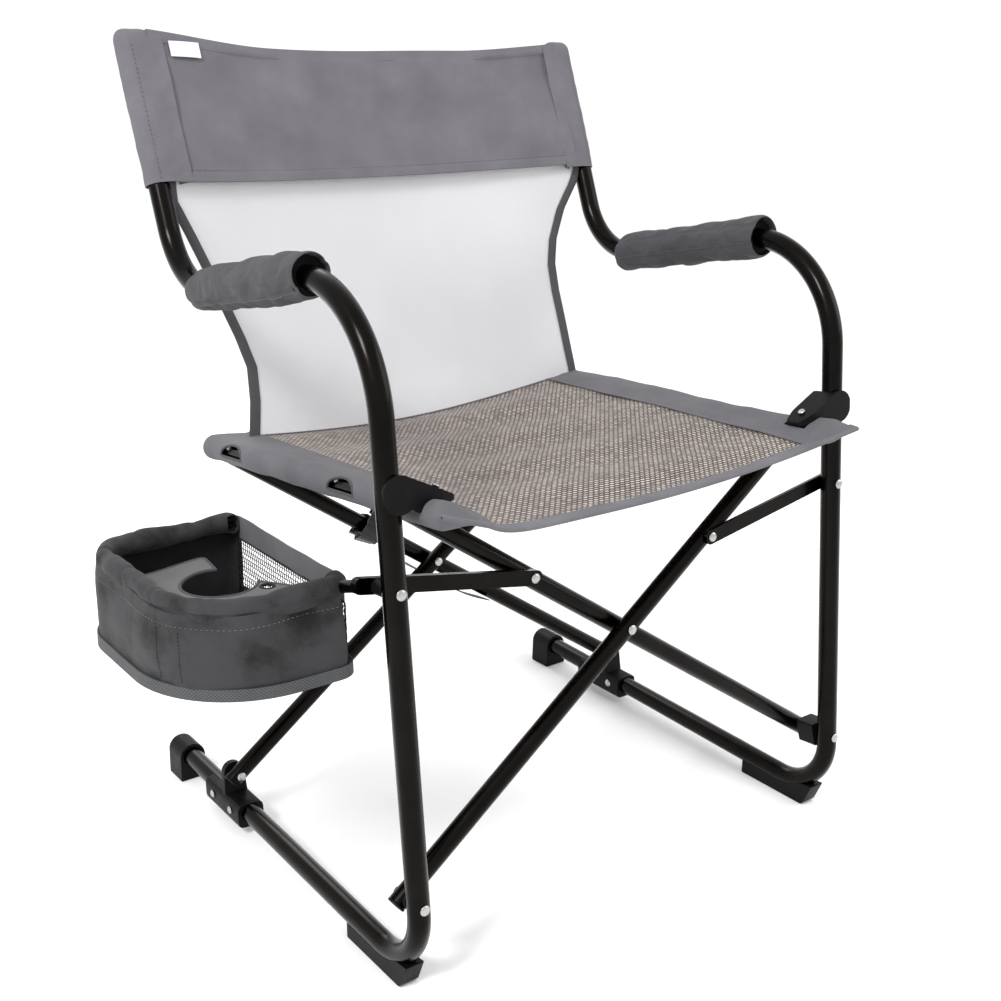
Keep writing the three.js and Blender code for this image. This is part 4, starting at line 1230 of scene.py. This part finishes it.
def shelf():
    """A stiff shelf with a tongue, a cup hole open at the back and an eyelet."""
    edge = shelf_edge()
    outer, inner = PAST_BAG
    outline = np.vstack([edge, [(inner, outer), (outer, outer)]])
    xs = np.linspace(BAG_OUT_X + 6, BAG_IN_X - 6, 170)
    ys = np.linspace(BAG_FRONT_Y + 6, TONGUE[1] + 1, 210)
    X, Y = np.meshgrid(xs, ys)
    keep = inside_ring(bag_ring(SHELF_Z, -4.6), X, Y) & inside_ring(outline, X, Y)
    keep &= np.hypot(X - EYELET[0], Y - EYELET[1]) > EYELET[2]
    cells = keep[:-1, :-1] & keep[1:, :-1] & keep[:-1, 1:] & keep[1:, 1:]
    grid = spots_at(X, Y, SHELF_Z + tongue_lift(X, Y))
    made = cloth("basket_shelf", FLOOR(grid), SHELF_T, SHELF_CLOTH, keep=cells)
    angles = np.linspace(0, 2 * math.pi, 48)
    round_eye = np.column_stack([EYELET[0] + EYELET[2] * np.cos(angles),
                                 EYELET[1] + EYELET[2] * np.sin(angles)])
    dense = []
    for (x0, y0), (x1, y1) in zip(edge, edge[1:]):
        count = max(2, int(math.hypot(x1 - x0, y1 - y0) / 2))
        dense += [(x0 + (x1 - x0) * k / count, y0 + (y1 - y0) * k / count) for k in range(count)]
    dense = np.array(dense)
    dense = dense[inside_ring(bag_ring(SHELF_Z, -5.5), dense[:, 0], dense[:, 1])]
    edges = ((dense, 1.8, BINDING_CLOTH), (round_eye, 1.6, LINING_CLOTH))
    for k, (line, radius, look) in enumerate(edges):
        path = FLOOR(spots_at(*line.T, SHELF_Z + tongue_lift(*line.T)))
        tube(f"shelf_edge_{k + 1}", path, radius, look, 12).parent = made
    return stand_for(made, "basket_cup_shelf")


basket_shelf = shelf()
stand_for(wall, "basket_bag")
for piece in (lining, net, net_band, rim, trim, bottom):
    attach(piece, "link_left")

grid, body, side = SURFACES["basket_wall"]
row_at = int(np.argmin(np.abs(grid[:, 0, 2] - (BAG_TOP - 15))))
line = body[row_at] + side * 1.1 * MM
stitches("basket_rim_stitches", line, side, THREAD).parent = wall
for k, y in enumerate(POCKET_SEAMS_Y):
    column = int(np.argmin(np.hypot(grid[0, :, 0] - BAG_OUT_X, grid[0, :, 1] - y)))
    tall = (grid[:, 0, 2] < BAG_TOP - 19) & (grid[:, 0, 2] > BAG_BOTTOM + 11)
    line = body[tall, column] + side[column] * MM
    row = seam(f"pocket_stitches_{k + 1}", line, side[column], DARK_THREAD, gap=0.4, thick=1.1)
    row.parent = wall

# ---------------------------------------------------------------- carry strap
STRAP_AT = (404, 446)     # where it is bunched, along the rear tube
STRAP_HANG = (230, 400)   # where its slack end hangs below the tube
STRAP_HALF = 12.0
STRAP_TURNS = 3.1
STRAP_LAYER = 3.1         # how much further out each turn lies


def ribbon(node, line):
    """Webbing along a line of its middles, each with the direction across it."""
    widths = np.linspace(-STRAP_HALF, STRAP_HALF, 9)
    rows = [[middle + across * w for w in widths] for middle, across in line]
    return stand_for(cloth(f"{node}_cloth", LEANING(rows), WEBBING_T, WEBBING), node)


def strap():
    """Webbing wound loosely on the rear tube, with a slack end under it."""
    axis = np.array([-math.cos(CROSS_ANGLE), 0, math.sin(CROSS_ANGLE)])
    up = np.array([math.sin(CROSS_ANGLE), 0, math.cos(CROSS_ANGLE)])
    back = np.array([0, 1.0, 0])
    origin = np.array([SIDE_X, REAR_MID_D + SCISSOR_STEP / 2, 0.0])
    line = []
    for turn in np.linspace(0, 2 * math.pi * STRAP_TURNS, 200):
        radius = CROSS_R + 1.6 + STRAP_LAYER * turn / (2 * math.pi)
        radius += 1.5 * math.sin(turn * 3.1) + 0.9 * math.sin(turn * 7.3 + 1)
        shift = sum(STRAP_AT) / 2 + 10.0 * math.sin(turn * 0.83)
        out = up * math.cos(turn) + back * math.sin(turn)
        tilt = 0.35 * math.sin(turn * 1.7)
        line.append((origin + axis * shift + out * radius,
                     axis * math.cos(tilt) + out * math.sin(tilt) * 0.5))
    wound = ribbon("strap_band", line)
    line = []
    for t in np.linspace(0, 1, 90):
        along = STRAP_HANG[0] + (STRAP_HANG[1] - STRAP_HANG[0]) * t
        drop = CROSS_R + 2.4 + 30.0 * t * (1 - t) + 7.0 * math.sin(t * 9.0) * t * (1 - t)
        twist = 0.9 * math.sin(t * 5.0)
        line.append((origin + axis * along - up * drop,
                     back * math.cos(twist) + axis * math.sin(twist) * 0.4))
    return wound, ribbon("strap_loop", line)


strap_wound, strap_slack = strap()

# ---------------------------------------------------------------- cloth sizes
def cut_from(made):
    """Measures a sheet's area, half that of all its faces; the area is not kept."""
    body = bmesh.new()
    body.from_mesh(made.data)
    area = sum(face.calc_area() for face in body.faces) / 2
    body.free()


pieces = bpy.data.objects
cut_from(seat)
cut_from(band)
cut_from(panel)
cut_from(label)
for name in SIDES:
    cut_from(pieces[f"seat_sleeve_{name}_cloth"])
    cut_from(pieces[f"back_sleeve_{name}_cloth"])
cut_from(wall)
cut_from(lining)
cut_from(net_band)
cut_from(rim)
cut_from(trim)
cut_from(bottom)
cut_from(basket_shelf)
cut_from(strap_wound)
cut_from(strap_slack)

# ---------------------------------------------------------------- stage
FLOOR_HALF = 30.0         # metres
FLOOR_DROP = 0.0005
floor = bpy.data.meshes.new("floor")
floor.from_pydata([(x * FLOOR_HALF, y * FLOOR_HALF, 0)
                   for x, y in ((-1, -1), (1, -1), (1, 1), (-1, 1))], [], [(0, 1, 2, 3)])
floor_look = Look("floor_look", (0.93, 0.93, 0.93), 0.9)
floor.materials.append(floor_look.material)
ground = shown("floor", floor)
ground.location.z = -FLOOR_DROP

world = bpy.data.worlds.new("studio")
bpy.context.scene.world = world
world.use_nodes = True
background = world.node_tree.nodes["Background"].inputs
background["Color"].default_value = (1, 1, 1, 1)
background["Strength"].default_value = 1.08

middle = (Vector(cad_low) + Vector(cad_high)) / 2
LIGHTS = {"key": ((-2.0, -0.9, 2.3), 0.7, 60), "fill": ((1.9, -1.4, 1.5), 1.4, 18),
          "rim": ((0.4, 2.2, 2.0), 1.2, 20)}      # place, size and power of each
for name, (at, size, power) in LIGHTS.items():
    light = bpy.data.lights.new(name, "AREA")
    set_all(light, energy=power, size=size)
    facing = (Vector(at) - middle).to_track_quat("Z", "Y")
    set_all(shown(name, light), location=at, rotation_mode="QUATERNION",
            rotation_quaternion=facing)

CAMERA_AT = (-0.7546, -1.1381, 0.8124)
CAMERA_TURN = (70.501, -0.781, -37.832)     # degrees: up from straight down, roll, heading
camera_data = bpy.data.cameras.new("camera")
set_all(camera_data, sensor_width=36, lens=47.744, shift_x=-0.0435, shift_y=0.0430)
camera = shown("camera", camera_data)
set_all(camera, location=CAMERA_AT, rotation_euler=[math.radians(a) for a in CAMERA_TURN])
bpy.context.scene.camera = camera
bpy.context.scene.view_settings.view_transform = "Standard"
